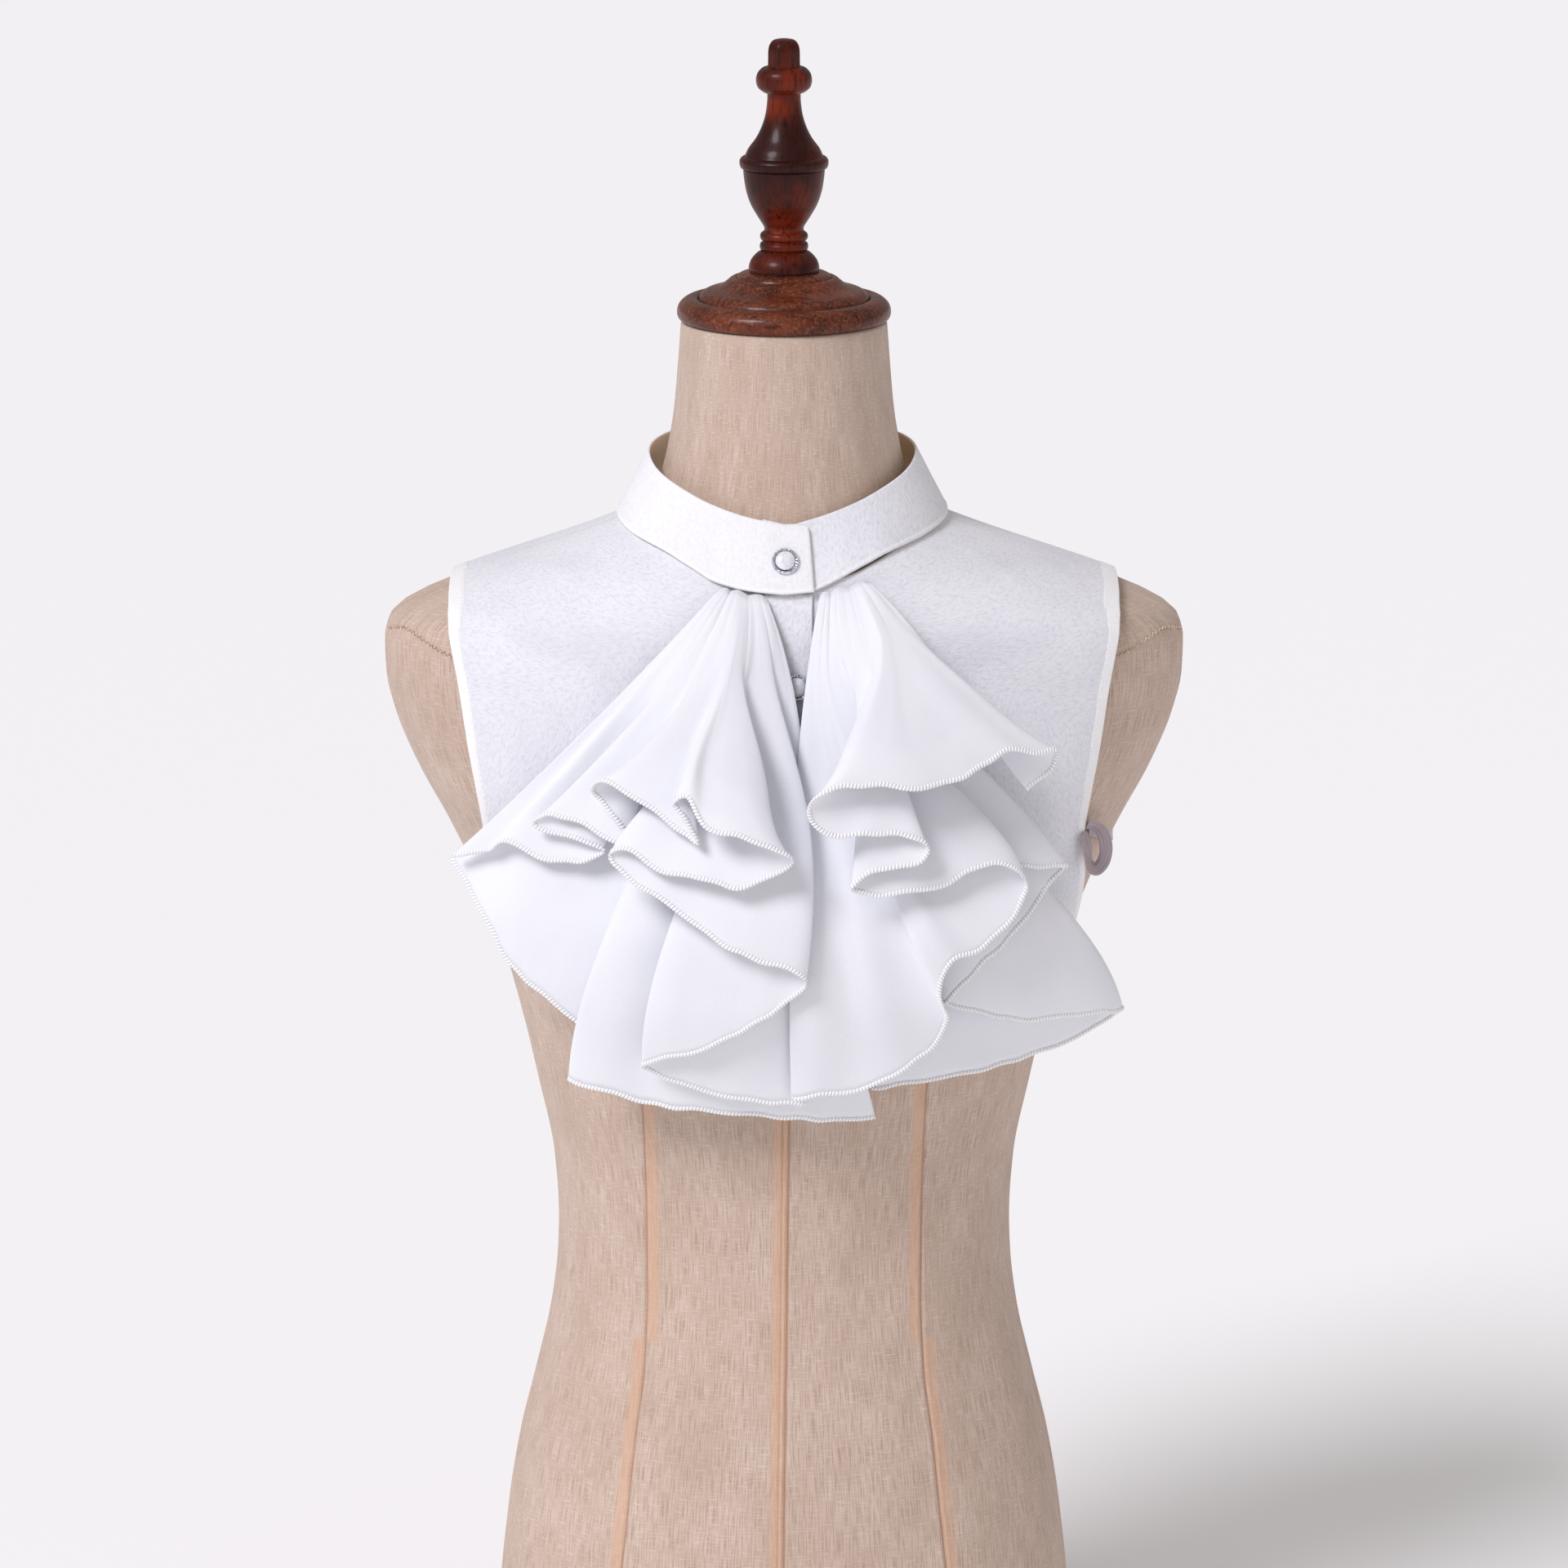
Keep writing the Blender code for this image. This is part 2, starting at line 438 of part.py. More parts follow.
def build_band(material):
    """Stand band, one strip round the neck whose outer end laps over the under end."""
    start, stop = BAND_OVER, BAND_UNDER - 360.0
    grids = [[], []]
    for h in range(BAND_RISES + 1):
        up = h / BAND_RISES
        lines = [[], []]
        for c in range(BAND_STEPS + 1):
            share = c / BAND_STEPS
            turn = start - BAND_END_TURNS.get(c, (start - stop) * share)
            away = abs((turn + 180.0) % 360.0 - 180.0)
            low, top = hermite(BAND_HEIGHTS, away)
            full = top
            in_by = BAND_LAP * min(max(0.0, (share - 0.5) / 0.4), 1.0)
            rad = math.radians(turn)
            forward = math.cos(rad) > 0
            edge = BAND_LOW[1] if forward else BAND_LOW[2]
            while clearance((math.sin(rad) * (BAND_LOW[0] - in_by), -math.cos(rad) * (edge - in_by),
                             low)) < PANEL_OUT + BAND_WALL / 2 + BAND_CLEAR:
                low += 0.1
            reach = max(0.0, BAND_CORNER - abs(start - turn) * 1.5)
            top -= BAND_CORNER - math.sqrt(max(BAND_CORNER ** 2 - reach ** 2, 0.0))
            z = low + (top - low) * up
            sizes = [a + (b - a) * (z - low) / (full - low) for a, b in zip(BAND_LOW, BAND_TOP)]
            depth = sizes[1] if forward else sizes[2]
            for k, off in enumerate((in_by + BAND_WALL / 2, in_by - BAND_WALL / 2)):
                lines[k].append((math.sin(rad) * (sizes[0] - off), -math.cos(rad) * (depth - off), z))
        grids[0].append(lines[0])
        grids[1].append(lines[1])
    return sheet("collar_band", grids[0], grids[1], material)


# Flounces
def ease(value):
    """Smooth step from 0 to 1."""
    value = min(max(value, 0.0), 1.0)
    return value * value * (3 - 2 * value)


def chest(x, z):
    """Resting surface in front of the form, clear of the flat pieces."""
    front = hermite(FORM_LEVELS, z)[1]
    return -(front + CHEST_EASE) * math.sqrt(max(0.04, 1 - (x / CHEST_SPAN) ** 2))


def flounce_point(rows, gather, lift0, late, full, place, t):
    """Point of a flounce at a place along its hem rows and a share t from gather to hem.

    late is 1 where a fold line bows out near the gather and 2 where it bows out near the hem.
    Near the gather the cloth stands off in one swell, lower down in its separate folds; full makes
    that swell higher than the folds it turns into.
    """
    count = len(rows) - 1
    index = min(int(place), count - 1)
    x, z, lift, bow = spline(rows, index, place - index)
    share = place / count
    crest = max(range(count + 1), key=lambda i: rows[i][2])
    if place < crest:
        swell = rows[0][2] + (rows[crest][2] - rows[0][2]) * place / crest
    else:
        swell = rows[crest][2] + (rows[-1][2] - rows[crest][2]) * (place - crest) / max(count - crest, 1)
    own = FOLD_OWN + (1 - FOLD_OWN) * ease((t - FOLD_TENT[0]) / (FOLD_TENT[1] - FOLD_TENT[0]))
    lift = swell * full * (1 - own) + lift * own
    own = ease((t - BOW_TENT[0]) / (BOW_TENT[1] - BOW_TENT[0]))
    bow = bow * own + (rows[0][3] + (rows[-1][3] - rows[0][3]) * share) * (1 - own)
    spread = (max(t - FOLD_START, 0.0) / (1 - FOLD_START)) ** FOLD_SPREAD
    gx = gather[0][0] + (gather[1][0] - gather[0][0]) * share
    gz = gather[0][1] + (gather[1][1] - gather[0][1]) * share
    fan_x = rows[0][0] + (rows[-1][0] - rows[0][0]) * share
    fan_z = rows[0][1] + (rows[-1][1] - rows[0][1]) * share
    px = gx * (1 - t) + fan_x * t + (x - fan_x) * spread + bow * BOW_SCALE * t ** late * (1 - t) ** (3 - late)
    pz = gz * (1 - t) + fan_z * t + (z - fan_z) * spread
    rise = 1 - (1 - t) ** FOLD_RISE
    return Vector((px, chest(px, pz) - lift0 - lift * rise, pz))


def bend(rows, i):
    """Turn of the hem at one row, in degrees."""
    if i in (0, len(rows) - 1):
        return 0.0
    before = Vector(rows[i][:3]) - Vector(rows[i - 1][:3])
    after = Vector(rows[i + 1][:3]) - Vector(rows[i][:3])
    return math.degrees(before.angle(after))


def build_flounce(name, rows, gather, lift0, late, full, material):
    """Wall that follows the flounce's surface, half its thickness to each side."""
    count = len(rows) - 1
    places = []
    for i in range(count):
        places.append(float(i))
        if bend(rows, i) > FINE_BEND or bend(rows, i + 1) > FINE_BEND:
            places.append(i + 0.5)
    places.append(float(count))
    grids = [[], []]
    for t in FLOUNCE_LEVELS:
        lines = [[], []]
        for place in places:
            here = flounce_point(rows, gather, lift0, late, full, place, t)
            side, down = NORMAL_STEP
            a = flounce_point(rows, gather, lift0, late, full, max(place - side, 0.0), t)
            b = flounce_point(rows, gather, lift0, late, full, min(place + side, count), t)
            low = max(t, 2 * down)
            c = flounce_point(rows, gather, lift0, late, full, place, low - down)
            d = flounce_point(rows, gather, lift0, late, full, place, min(low + down, 1.0))
            normal = (b - a).cross(d - c).normalized()
            off = normal * FLOUNCE_WALL
            lines[0].append(here - off / 2)
            lines[1].append(here + off / 2)
        grids[0].append(lines[0])
        grids[1].append(lines[1])
    return sheet(name, grids[0], grids[1], material)


def build_button(name, centre, tilt, rim, pearl):
    """Rim and pearl of one button, its back at the centre point, facing forward and tilted up."""
    rad = math.radians(tilt)
    face = Vector((0.0, -math.cos(rad), math.sin(rad)))
    side = Vector((1.0, 0.0, 0.0))
    up = side.cross(face) * -1.0

    def place(p):
        return centre + side * p.x + up * p.y + face * p.z

    turned(name + "_rim", RIM_PROFILE, RIM_SIDES, rim, place)
    turned(name + "_pearl", PEARL_PROFILE, PEARL_SIDES, pearl, place)


def ribbon(name, points, wide, material):
    """Flat ribbon along points; wide gives the direction across it at each point."""
    grids = [[], []]
    for k in (0, 1):
        for edge in (-0.5, 0.5):
            line = []
            for i, p in enumerate(points):
                way = (points[min(i + 1, len(points) - 1)] - points[max(i - 1, 0)]).normalized()
                across = (wide[i] - way * wide[i].dot(way)).normalized()
                normal = way.cross(across).normalized()
                line.append(p + across * TIE_WIDTH * edge + normal * TIE_WALL * (k - 0.5))
            grids[k].append(line)
    return sheet(name, grids[0], grids[1], material)


def build_ties(side, material):
    word = "left" if side < 0 else "right"
    strap = LEFT_STRAP if side < 0 else RIGHT_STRAP
    pick = [along(strap, i / STRAP_STEPS) for i in range(STRAP_STEPS + 1)]
    points = [form_point(a, z, PANEL_OUT) for a, z in pick]
    points = [Vector((p.x * side, p.y, p.z)) for p in points]
    ribbon("side_strap_" + word, points, [Vector((0.0, 0.0, 1.0))] * len(points), material)
    tuck = LEFT_TUCK if side < 0 else (0.0, 0.0, 0.0)
    path = [Vector((x * side + tuck[0], y + tuck[1], z + tuck[2])) for x, y, z in LOOP_PATH]
    fine = [Vector(along([tuple(p) for p in path], i / LOOP_STEPS)) for i in range(LOOP_STEPS + 1)]
    middle = sum(path, Vector()) / len(path)
    wide = []
    for p in fine:
        out = (p - middle).normalized()
        wide.append(out * LOOP_TURN[0] + Vector((0.0, LOOP_TURN[1], 0.0)))
    ribbon("side_loop_" + word, fine, wide, material)


def build():
    linen = make_material("linen", (0.62, 0.50, 0.40), 0.9)
    wood = make_material("mahogany", (0.10, 0.022, 0.010), 0.25)
    cloth = make_material("crepe", (0.86, 0.87, 0.92), 0.8)
    frill = make_material("chiffon", (0.88, 0.89, 0.94), 0.75)
    satin = make_material("satin", (0.42, 0.36, 0.38), 0.35)
    metal = make_material("silver", (0.72, 0.73, 0.76), 0.2, 1.0)
    pearl = make_material("pearl", (0.85, 0.86, 0.88), 0.2)

    build_form(linen)
    turned("neck_cap", CAP_PROFILE, CAP_SIDES, wood)
    turned("finial", FINIAL_PROFILE, FINIAL_SIDES, wood)

    patch("front_left", -1, False, cloth, 8, 13)
    patch("front_right", 1, False, cloth, 8, 13)
    patch("back_left", -1, True, cloth, 8, 11)
    patch("back_right", 1, True, cloth, 8, 11)
    build_placket(cloth)
    build_band(cloth)

    build_flounce("flounce_left_upper", LEFT_UPPER, LEFT_GATHER, LEFT_UPPER_LIFT, 1, 1.0, frill)
    build_flounce("flounce_left_lower", LEFT_LOWER, LEFT_GATHER, LEFT_LOWER_LIFT, 1, 1.0, frill)
    build_flounce("flounce_right_upper", RIGHT_UPPER, RIGHT_GATHER, RIGHT_UPPER_LIFT, 1, 1.0, frill)
    build_flounce("flounce_right_lower", RIGHT_LOWER, RIGHT_GATHER, RIGHT_LOWER_LIFT, 2, 3.0, frill)

    build_button("button_upper", Vector(UPPER_BUTTON), UPPER_TILT, metal, pearl)
    x, z = LOWER_BUTTON
    depth = hermite(FORM_LEVELS, z)[1] + PLACKET_OUT + BUTTON_GAP
    build_button("button_lower", Vector((x, -depth, z)), LOWER_TILT, metal, pearl)

    build_ties(-1, satin)
    build_ties(1, satin)


build()
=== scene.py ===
"""Ruffled jabot collar worn on a limbless dress form: the finish of every surface, over the fixed frame.

Sizes are millimetres in the part's own frame until a mesh is made from them: +Z up, the wearer's
front towards -Y and the viewer's right +X.
"""
import logging
import math
from dataclasses import dataclass, field
from enum import Enum

import bpy
import numpy as np
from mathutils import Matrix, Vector


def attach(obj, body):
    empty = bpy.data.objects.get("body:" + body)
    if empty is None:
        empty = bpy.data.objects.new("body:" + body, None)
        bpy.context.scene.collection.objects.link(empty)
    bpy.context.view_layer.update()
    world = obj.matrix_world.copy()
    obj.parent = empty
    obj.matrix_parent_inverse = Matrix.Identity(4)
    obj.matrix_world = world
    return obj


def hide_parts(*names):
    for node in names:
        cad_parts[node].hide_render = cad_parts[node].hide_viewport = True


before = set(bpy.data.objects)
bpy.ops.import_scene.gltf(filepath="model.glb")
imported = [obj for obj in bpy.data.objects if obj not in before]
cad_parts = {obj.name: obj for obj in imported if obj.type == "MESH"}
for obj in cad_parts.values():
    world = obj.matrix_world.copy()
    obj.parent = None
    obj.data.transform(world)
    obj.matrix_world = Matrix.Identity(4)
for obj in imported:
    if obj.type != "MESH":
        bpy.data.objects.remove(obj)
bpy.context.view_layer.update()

MM = 0.001
BODY = "root"
CLOTH_UV = "cloth_mm"
Array = np.ndarray
Row = tuple[float, ...]
log = logging.getLogger("ruffled_collar")


class Side(Enum):
    """Which half of the part a piece belongs to, as the viewer sees it."""

    LEFT = -1
    RIGHT = 1

    @property
    def word(self) -> str:
        """The side's name in the nodes' names."""
        return self.name.lower()


# Curves and surfaces that the pieces share

def hermite(table: list[Row], at: Array) -> Array:
    """Smooth curve, with no overshoot, through a table whose first column rises.

    Args:
        table: rows whose first value is the key.
        at: the keys to read, of any shape.

    Returns:
        The other columns at those keys, in one more dimension.
    """
    rows = np.asarray(table, float)
    keys, values = rows[:, 0], rows[:, 1:]
    at = np.clip(np.asarray(at, float), keys[0], keys[-1])
    steps = np.diff(values, axis=0) / np.diff(keys)[:, None]
    slopes = np.vstack([steps[:1], steps])
    before, after = steps[:-1], steps[1:]
    meet = before * after > 0
    slopes[1:-1] = np.where(meet, 2 * before * after / np.where(meet, before + after, 1.0), 0.0)
    index = np.clip(np.searchsorted(keys, at, side="right") - 1, 0, len(keys) - 2)
    span = (keys[index + 1] - keys[index])[..., None]
    u = (at - keys[index])[..., None] / span
    return ((2 * u ** 3 - 3 * u ** 2 + 1) * values[index] + (u ** 3 - 2 * u ** 2 + u) * span * slopes[index]
            + (3 * u ** 2 - 2 * u ** 3) * values[index + 1] + (u ** 3 - u ** 2) * span * slopes[index + 1])


def spline(points: Array, place: Array) -> Array:
    """Smooth curve through a list of rows.

    Args:
        points: the rows.
        place: where to read it, from 0 at the first row to the last row's index.

    Returns:
        The row's values at each place.
    """
    last = len(points) - 1
    index = np.clip(np.floor(place).astype(int), 0, last - 1)
    u = (place - index)[..., None]
    a, b = points[np.maximum(index - 1, 0)], points[index]
    c, d = points[index + 1], points[np.minimum(index + 2, last)]
    return 0.5 * (2 * b + (c - a) * u + (2 * a - 5 * b + 4 * c - d) * u ** 2
                  + (3 * b - a - 3 * c + d) * u ** 3)


def along(points: list[Row], share: Array) -> Array:
    """Values at a share from 0 to 1 along a list of rows."""
    rows = np.asarray(points, float)
    return spline(rows, np.clip(share, 0.0, 1.0) * (len(rows) - 1))


def ease(value: Array) -> Array:
    """Smooth step from 0 to 1."""
    value = np.clip(value, 0.0, 1.0)
    return value * value * (3 - 2 * value)


def unit(vectors: Array) -> Array:
    """The same directions with length 1."""
    return vectors / np.maximum(np.linalg.norm(vectors, axis=-1, keepdims=True), 1e-9)


def run(points: Array, axis: int = 0) -> Array:
    """Length covered along a line or grid of points up to each of them."""
    steps = np.linalg.norm(np.diff(points, axis=axis), axis=-1)
    zero = np.zeros_like(np.take(steps, [0], axis=axis))
    return np.concatenate([zero, np.cumsum(steps, axis=axis)], axis=axis)


@dataclass(frozen=True)
class Crease:
    """A soft ridge, or a trough where its depth is negative, in the cloth's own flat millimetres."""

    start: tuple[float, float]
    end: tuple[float, float]
    width: float
    depth: float

    def relief(self, flat: Array) -> Array:
        """How far the cloth moves out at each of its points.

        Args:
            flat: each point's place in the flat cloth, in millimetres.

        Returns:
            The move in millimetres, which dies out towards both ends of the crease.
        """
        start, way = np.array(self.start), np.array(self.end) - np.array(self.start)
        share = np.clip((flat - start) @ way / (way @ way), 0.0, 1.0)
        apart = np.linalg.norm(flat - start - share[..., None] * way, axis=-1)
        return self.depth * np.exp(-(apart / self.width) ** 2) * np.sin(np.pi * (0.08 + 0.84 * share)) ** 0.7


def wrinkled(flat: Array, creases: list[Crease]) -> Array:
    """Sum of all creases' relief over a piece of cloth."""
    return sum((crease.relief(flat) for crease in creases), np.zeros(flat.shape[:-1]))


# Meshes

@dataclass
class Batch:
    """Points and faces of one or more closed bodies that make one mesh."""

    points: list[Array] = field(default_factory=list)
    faces: list[list[int]] = field(default_factory=list)
    slots: list[int] = field(default_factory=list)
    count: int = 0

    def add(self, points: Array, faces: list[list[int]], slot: int = 0) -> None:
        """Append one body.

        Args:
            points: its points in millimetres.
            faces: its faces, each a list of point numbers from 0.
            slot: the finish its faces take.
        """
        self.points.append(points.reshape(-1, 3))
        self.faces += [[self.count + k for k in face] for face in faces]
        self.slots += [slot] * len(faces)
        self.count += len(self.points[-1])

    def piece(self, name: str, *finishes: bpy.types.Material, smooth: bool = True) -> bpy.types.Object:
        """Make the object.

        Args:
            name: the piece's name.
            finishes: its materials, by slot.
            smooth: whether its faces are shaded smooth.

        Returns:
            The object, linked to the scene.
        """
        mesh = bpy.data.meshes.new(name)
        mesh.from_pydata((np.vstack(self.points) * MM).tolist(), [], self.faces)
        mesh.polygons.foreach_set("material_index", self.slots)
        mesh.polygons.foreach_set("use_smooth", [smooth] * len(self.faces))
        for finish in finishes:
            mesh.materials.append(finish)
        made = bpy.data.objects.new(name, mesh)
        bpy.context.scene.collection.objects.link(made)
        return made


def quads(rows: int, columns: int, first: int = 0, turned_over: bool = False) -> list[list[int]]:
    """Faces of a grid of points.

    Args:
        rows: rows of points.
        columns: points in a row.
        first: number of the grid's first point.
        turned_over: whether the faces look the other way.

    Returns:
        The faces, each of four points.
    """
    r, c = np.meshgrid(np.arange(rows - 1), np.arange(columns - 1), indexing="ij")
    a = first + r * columns + c
    corners = np.stack([a, a + 1, a + columns + 1, a + columns], axis=-1).reshape(-1, 4)
    return (corners[:, ::-1] if turned_over else corners).tolist()


def grid_normals(grid: Array) -> Array:
    """Direction out of a grid of points: along its rows crossed with down its columns."""
    return unit(np.cross(np.gradient(grid, axis=1), np.gradient(grid, axis=0)))


def shell(name: str, middle: Array, half: Array, flat: Array, finishes: list[bpy.types.Material],
          marks: dict[str, Array] | None = None) -> bpy.types.Object:
    """Closed thin wall of cloth.

    Args:
        name: the piece's name.
        middle: grid of points in the middle of the wall.
        half: half the wall's thickness at each point.
        flat: each point's place in the flat cloth, in millimetres.
        finishes: the outer material and, where it differs, the inner one.
        marks: named values at each point, for the finishes to read.

    Returns:
        The object.
    """
    rows, columns = middle.shape[:2]
    off = grid_normals(middle) * half[..., None]
    size = rows * columns
    batch = Batch()
    batch.points = [(middle + off).reshape(-1, 3), (middle - off).reshape(-1, 3)]
    numbers = np.arange(size).reshape(rows, columns)
    edge = [*numbers[0, :-1], *numbers[:-1, -1], *numbers[-1, :0:-1], *numbers[:0:-1, 0]]
    rim = [[int(b), int(a), int(a) + size, int(b) + size] for a, b in zip(edge, edge[1:] + edge[:1])]
    outer = quads(rows, columns)
    inner = quads(rows, columns, size, turned_over=True)
    batch.faces = outer + rim + inner
    batch.slots = [0] * (len(outer) + len(rim)) + [len(finishes) - 1] * len(inner)
    made = batch.piece(name, *finishes)
    write_flat(made, np.vstack([flat.reshape(-1, 2)] * 2))
    write_marks(made, {mark: np.tile(values.ravel(), 2) for mark, values in (marks or {}).items()})
    return made


def write_flat(made: bpy.types.Object, flat: Array) -> None:
    """Store each point's place in the flat cloth as a UV map in millimetres."""
    mesh = made.data
    layer = mesh.uv_layers.new(name=CLOTH_UV)
    corner = np.zeros(len(mesh.loops), int)
    mesh.loops.foreach_get("vertex_index", corner)
    layer.data.foreach_set("uv", flat[corner].astype(np.float32).ravel())


def write_marks(made: bpy.types.Object, marks: dict[str, Array]) -> None:
    """Store named values at each point, for the finishes to read."""
    for mark, values in marks.items():
        layer = made.data.attributes.new(mark, "FLOAT", "POINT")
        layer.data.foreach_set("value", values.astype(np.float32))


def rounded_edge(distance: Array, radius: float, least: float = 0.04) -> Array:
    """Share of a wall's thickness that is left at a distance from its edge, rounded over that radius."""
    return np.sqrt(np.clip(1 - (1 - np.minimum(distance / radius, 1.0)) ** 2, least, 1.0))


def tube_faces(rings: int, sides: int, turned_over: bool = False) -> list[list[int]]:
    """Faces of a closed tube, with a fan over each end.

    Args:
        rings: number of rings; after their points come the middle of the first and of the last ring.
        sides: points in a ring.
        turned_over: whether the faces look the other way.

    Returns:
        The faces.
    """
    k = np.arange(sides)
    faces = []
    for r in range(rings - 1):
        a, b = r * sides + k, r * sides + (k + 1) % sides
        faces += np.stack([a, b, b + sides, a + sides], axis=-1).tolist()
    low, top, last = rings * sides, rings * sides + 1, (rings - 1) * sides
    faces += [[low, int((i + 1) % sides), int(i)] for i in k]
    faces += [[top, int(last + i), int(last + (i + 1) % sides)] for i in k]
    return [[face[0], *face[:0:-1]] for face in faces] if turned_over else faces


def swept(path: Array, across: Array, out: Array, rings: Array) -> tuple[Array, list[list[int]]]:
    """Closed body along a path.

    Args:
        path: the points that it follows.
        across: unit direction of each section's first axis.
        out: unit direction of each section's second axis.
        rings: each section's outline on those two axes, of shape points x sides x 2.

    Returns:
        Its points and faces, with a fan over each end.
    """
    points = (path[:, None] + across[:, None] * rings[..., :1] + out[:, None] * rings[..., 1:]).reshape(-1, 3)
    return np.vstack([points, path[0], path[-1]]), tube_faces(*rings.shape[:2])


def ellipse(sides: int, first: float, second: float) -> Array:
    """Outline of an ellipse with those half axes, as sides x 2."""
    angle = 2 * np.pi * np.arange(sides) / sides
    return np.stack([first * np.cos(angle), second * np.sin(angle)], axis=-1)


def turned(runs: list[list[Row]], sides: int, facets: int = 0, faceted_above: float = 1e9,
           steps: int = 5) -> tuple[Array, list[list[int]]]:
    """Body turned about Z on a lathe.

    Args:
        runs: its profile from the lower axis to the upper one, as radius and height; each run is one smooth
            curve, and where two runs meet the tool left a crease.
        sides: points round it.
        facets: number of flats cut on its upper part.
        faceted_above: height above which the flats are cut.
        steps: points made for each stretch of the profile.

    Returns:
        Its points and faces.
    """
    lines = [np.asarray(line, float) for line in runs]
    places = [np.linspace(0, len(line) - 1, steps * (len(line) - 1) + 1) for line in lines]
    fine = np.vstack([spline(line, place) for line, place in zip(lines, places)])
    angle = 2 * np.pi * np.arange(sides) / sides
    radius = np.repeat(fine[:, :1], sides, axis=1)
    if facets:
        wedge = np.pi / facets
        flat = np.cos(wedge) / np.cos((angle + wedge) % (2 * wedge) - wedge)
        cut_in = 0.75             # the flats' depth, as a share of a full polygon's
        radius = np.where(fine[:, 1:] > faceted_above, radius * (1 - cut_in + cut_in * flat), radius)
    rings = np.stack([radius * np.cos(angle), radius * np.sin(angle)], axis=-1)
    path = fine[:, 1:] * np.array([0.0, 0.0, 1.0])
    first, second = (np.tile(axis, (len(path), 1)) for axis in np.eye(3)[:2])
    return swept(path, first, second, rings)


def placed(points: Array, centre: Array, side: Array, up: Array, face: Array) -> Array:
    """Points moved from a piece's own axes to their place."""
    return centre + points[:, :1] * side + points[:, 1:2] * up + points[:, 2:] * face


def stitch_bodies(path: Array, out: Array, pitch: float, length: float, radius: float,
                  slant: float = 0.0) -> Batch:
    """A row of short thread stitches along a line.

    Args:
        path: close points along the line.
        out: direction out of the cloth at each.
        pitch: distance from one stitch to the next.
        length: each stitch's length.
        radius: the thread's half thickness.
        slant: angle, in degrees, by which every other stitch leans either way.

    Returns:
        One body for each stitch.
    """
    covered = run(path)
    tangent = unit(np.gradient(path, axis=0))
    batch = Batch()
    shape = np.array([0.15, 0.8, 1.0, 0.8, 0.15])
    rings = ellipse(6, radius, radius)[None] * shape[:, None, None]
    for number, at in enumerate(np.arange(pitch / 2, covered[-1], pitch)):
        here = np.array([np.interp(at, covered, path[:, k]) for k in range(3)])
        index = min(int(np.searchsorted(covered, at)), len(path) - 1)
        normal, way = out[index], tangent[index]
        lean = math.radians(slant) * (1 if number % 2 else -1)
        way = unit(way * math.cos(lean) + np.cross(normal, way) * math.sin(lean))
        share = np.linspace(-0.5, 0.5, len(shape))[:, None]
        line = here + way * share * length + normal * radius * (1 - 1.4 * (2 * share) ** 2)
        side = np.tile(unit(np.cross(normal, way)), (len(shape), 1))
        batch.add(*swept(line, side, np.tile(normal, (len(shape), 1)), rings))
    return batch


# Finishes

def linear(code: str) -> tuple[float, float, float, float]:
    """Turn an sRGB hex colour into linear light."""
    shares = [int(code[i:i + 2], 16) / 255 for i in (1, 3, 5)]
    return (*(s / 12.92 if s <= 0.04045 else ((s + 0.055) / 1.055) ** 2.4 for s in shares), 1.0)


def node(tree: bpy.types.NodeTree, kind: str, settings: dict | None = None,
         links: dict | None = None) -> bpy.types.Node:
    """Add one node.

    Args:
        tree: where it goes.
        kind: its type.
        settings: its properties and plain input values, by name or input number.
        links: for each linked input, the node and the output that feed it.

    Returns:
        The node.
    """
    made = tree.nodes.new(kind)
    for key, value in (settings or {}).items():
        if isinstance(key, str) and hasattr(made, key):
            setattr(made, key, value)
        else:
            made.inputs[key].default_value = value
    for key, (source, output) in (links or {}).items():
        tree.links.new(source.outputs[output], made.inputs[key])
    return made


@dataclass(frozen=True)
class Finish:
    """What every finish has: a name, and a shader whose plain sockets are set first."""

    name: str

    def start(self, **sockets: float | tuple) -> tuple[bpy.types.Material, bpy.types.Node]:
        """Begin the material.

        Args:
            sockets: the shader's plain values, with _ for each space in a socket's name.

        Returns:
            The material and its shader.
        """
        material = bpy.data.materials.new(self.name)
        material.use_nodes = True
        shader = next(n for n in material.node_tree.nodes if n.type == "BSDF_PRINCIPLED")
        for key, value in sockets.items():
            shader.inputs[key.replace("_", " ")].default_value = value
        return material, shader


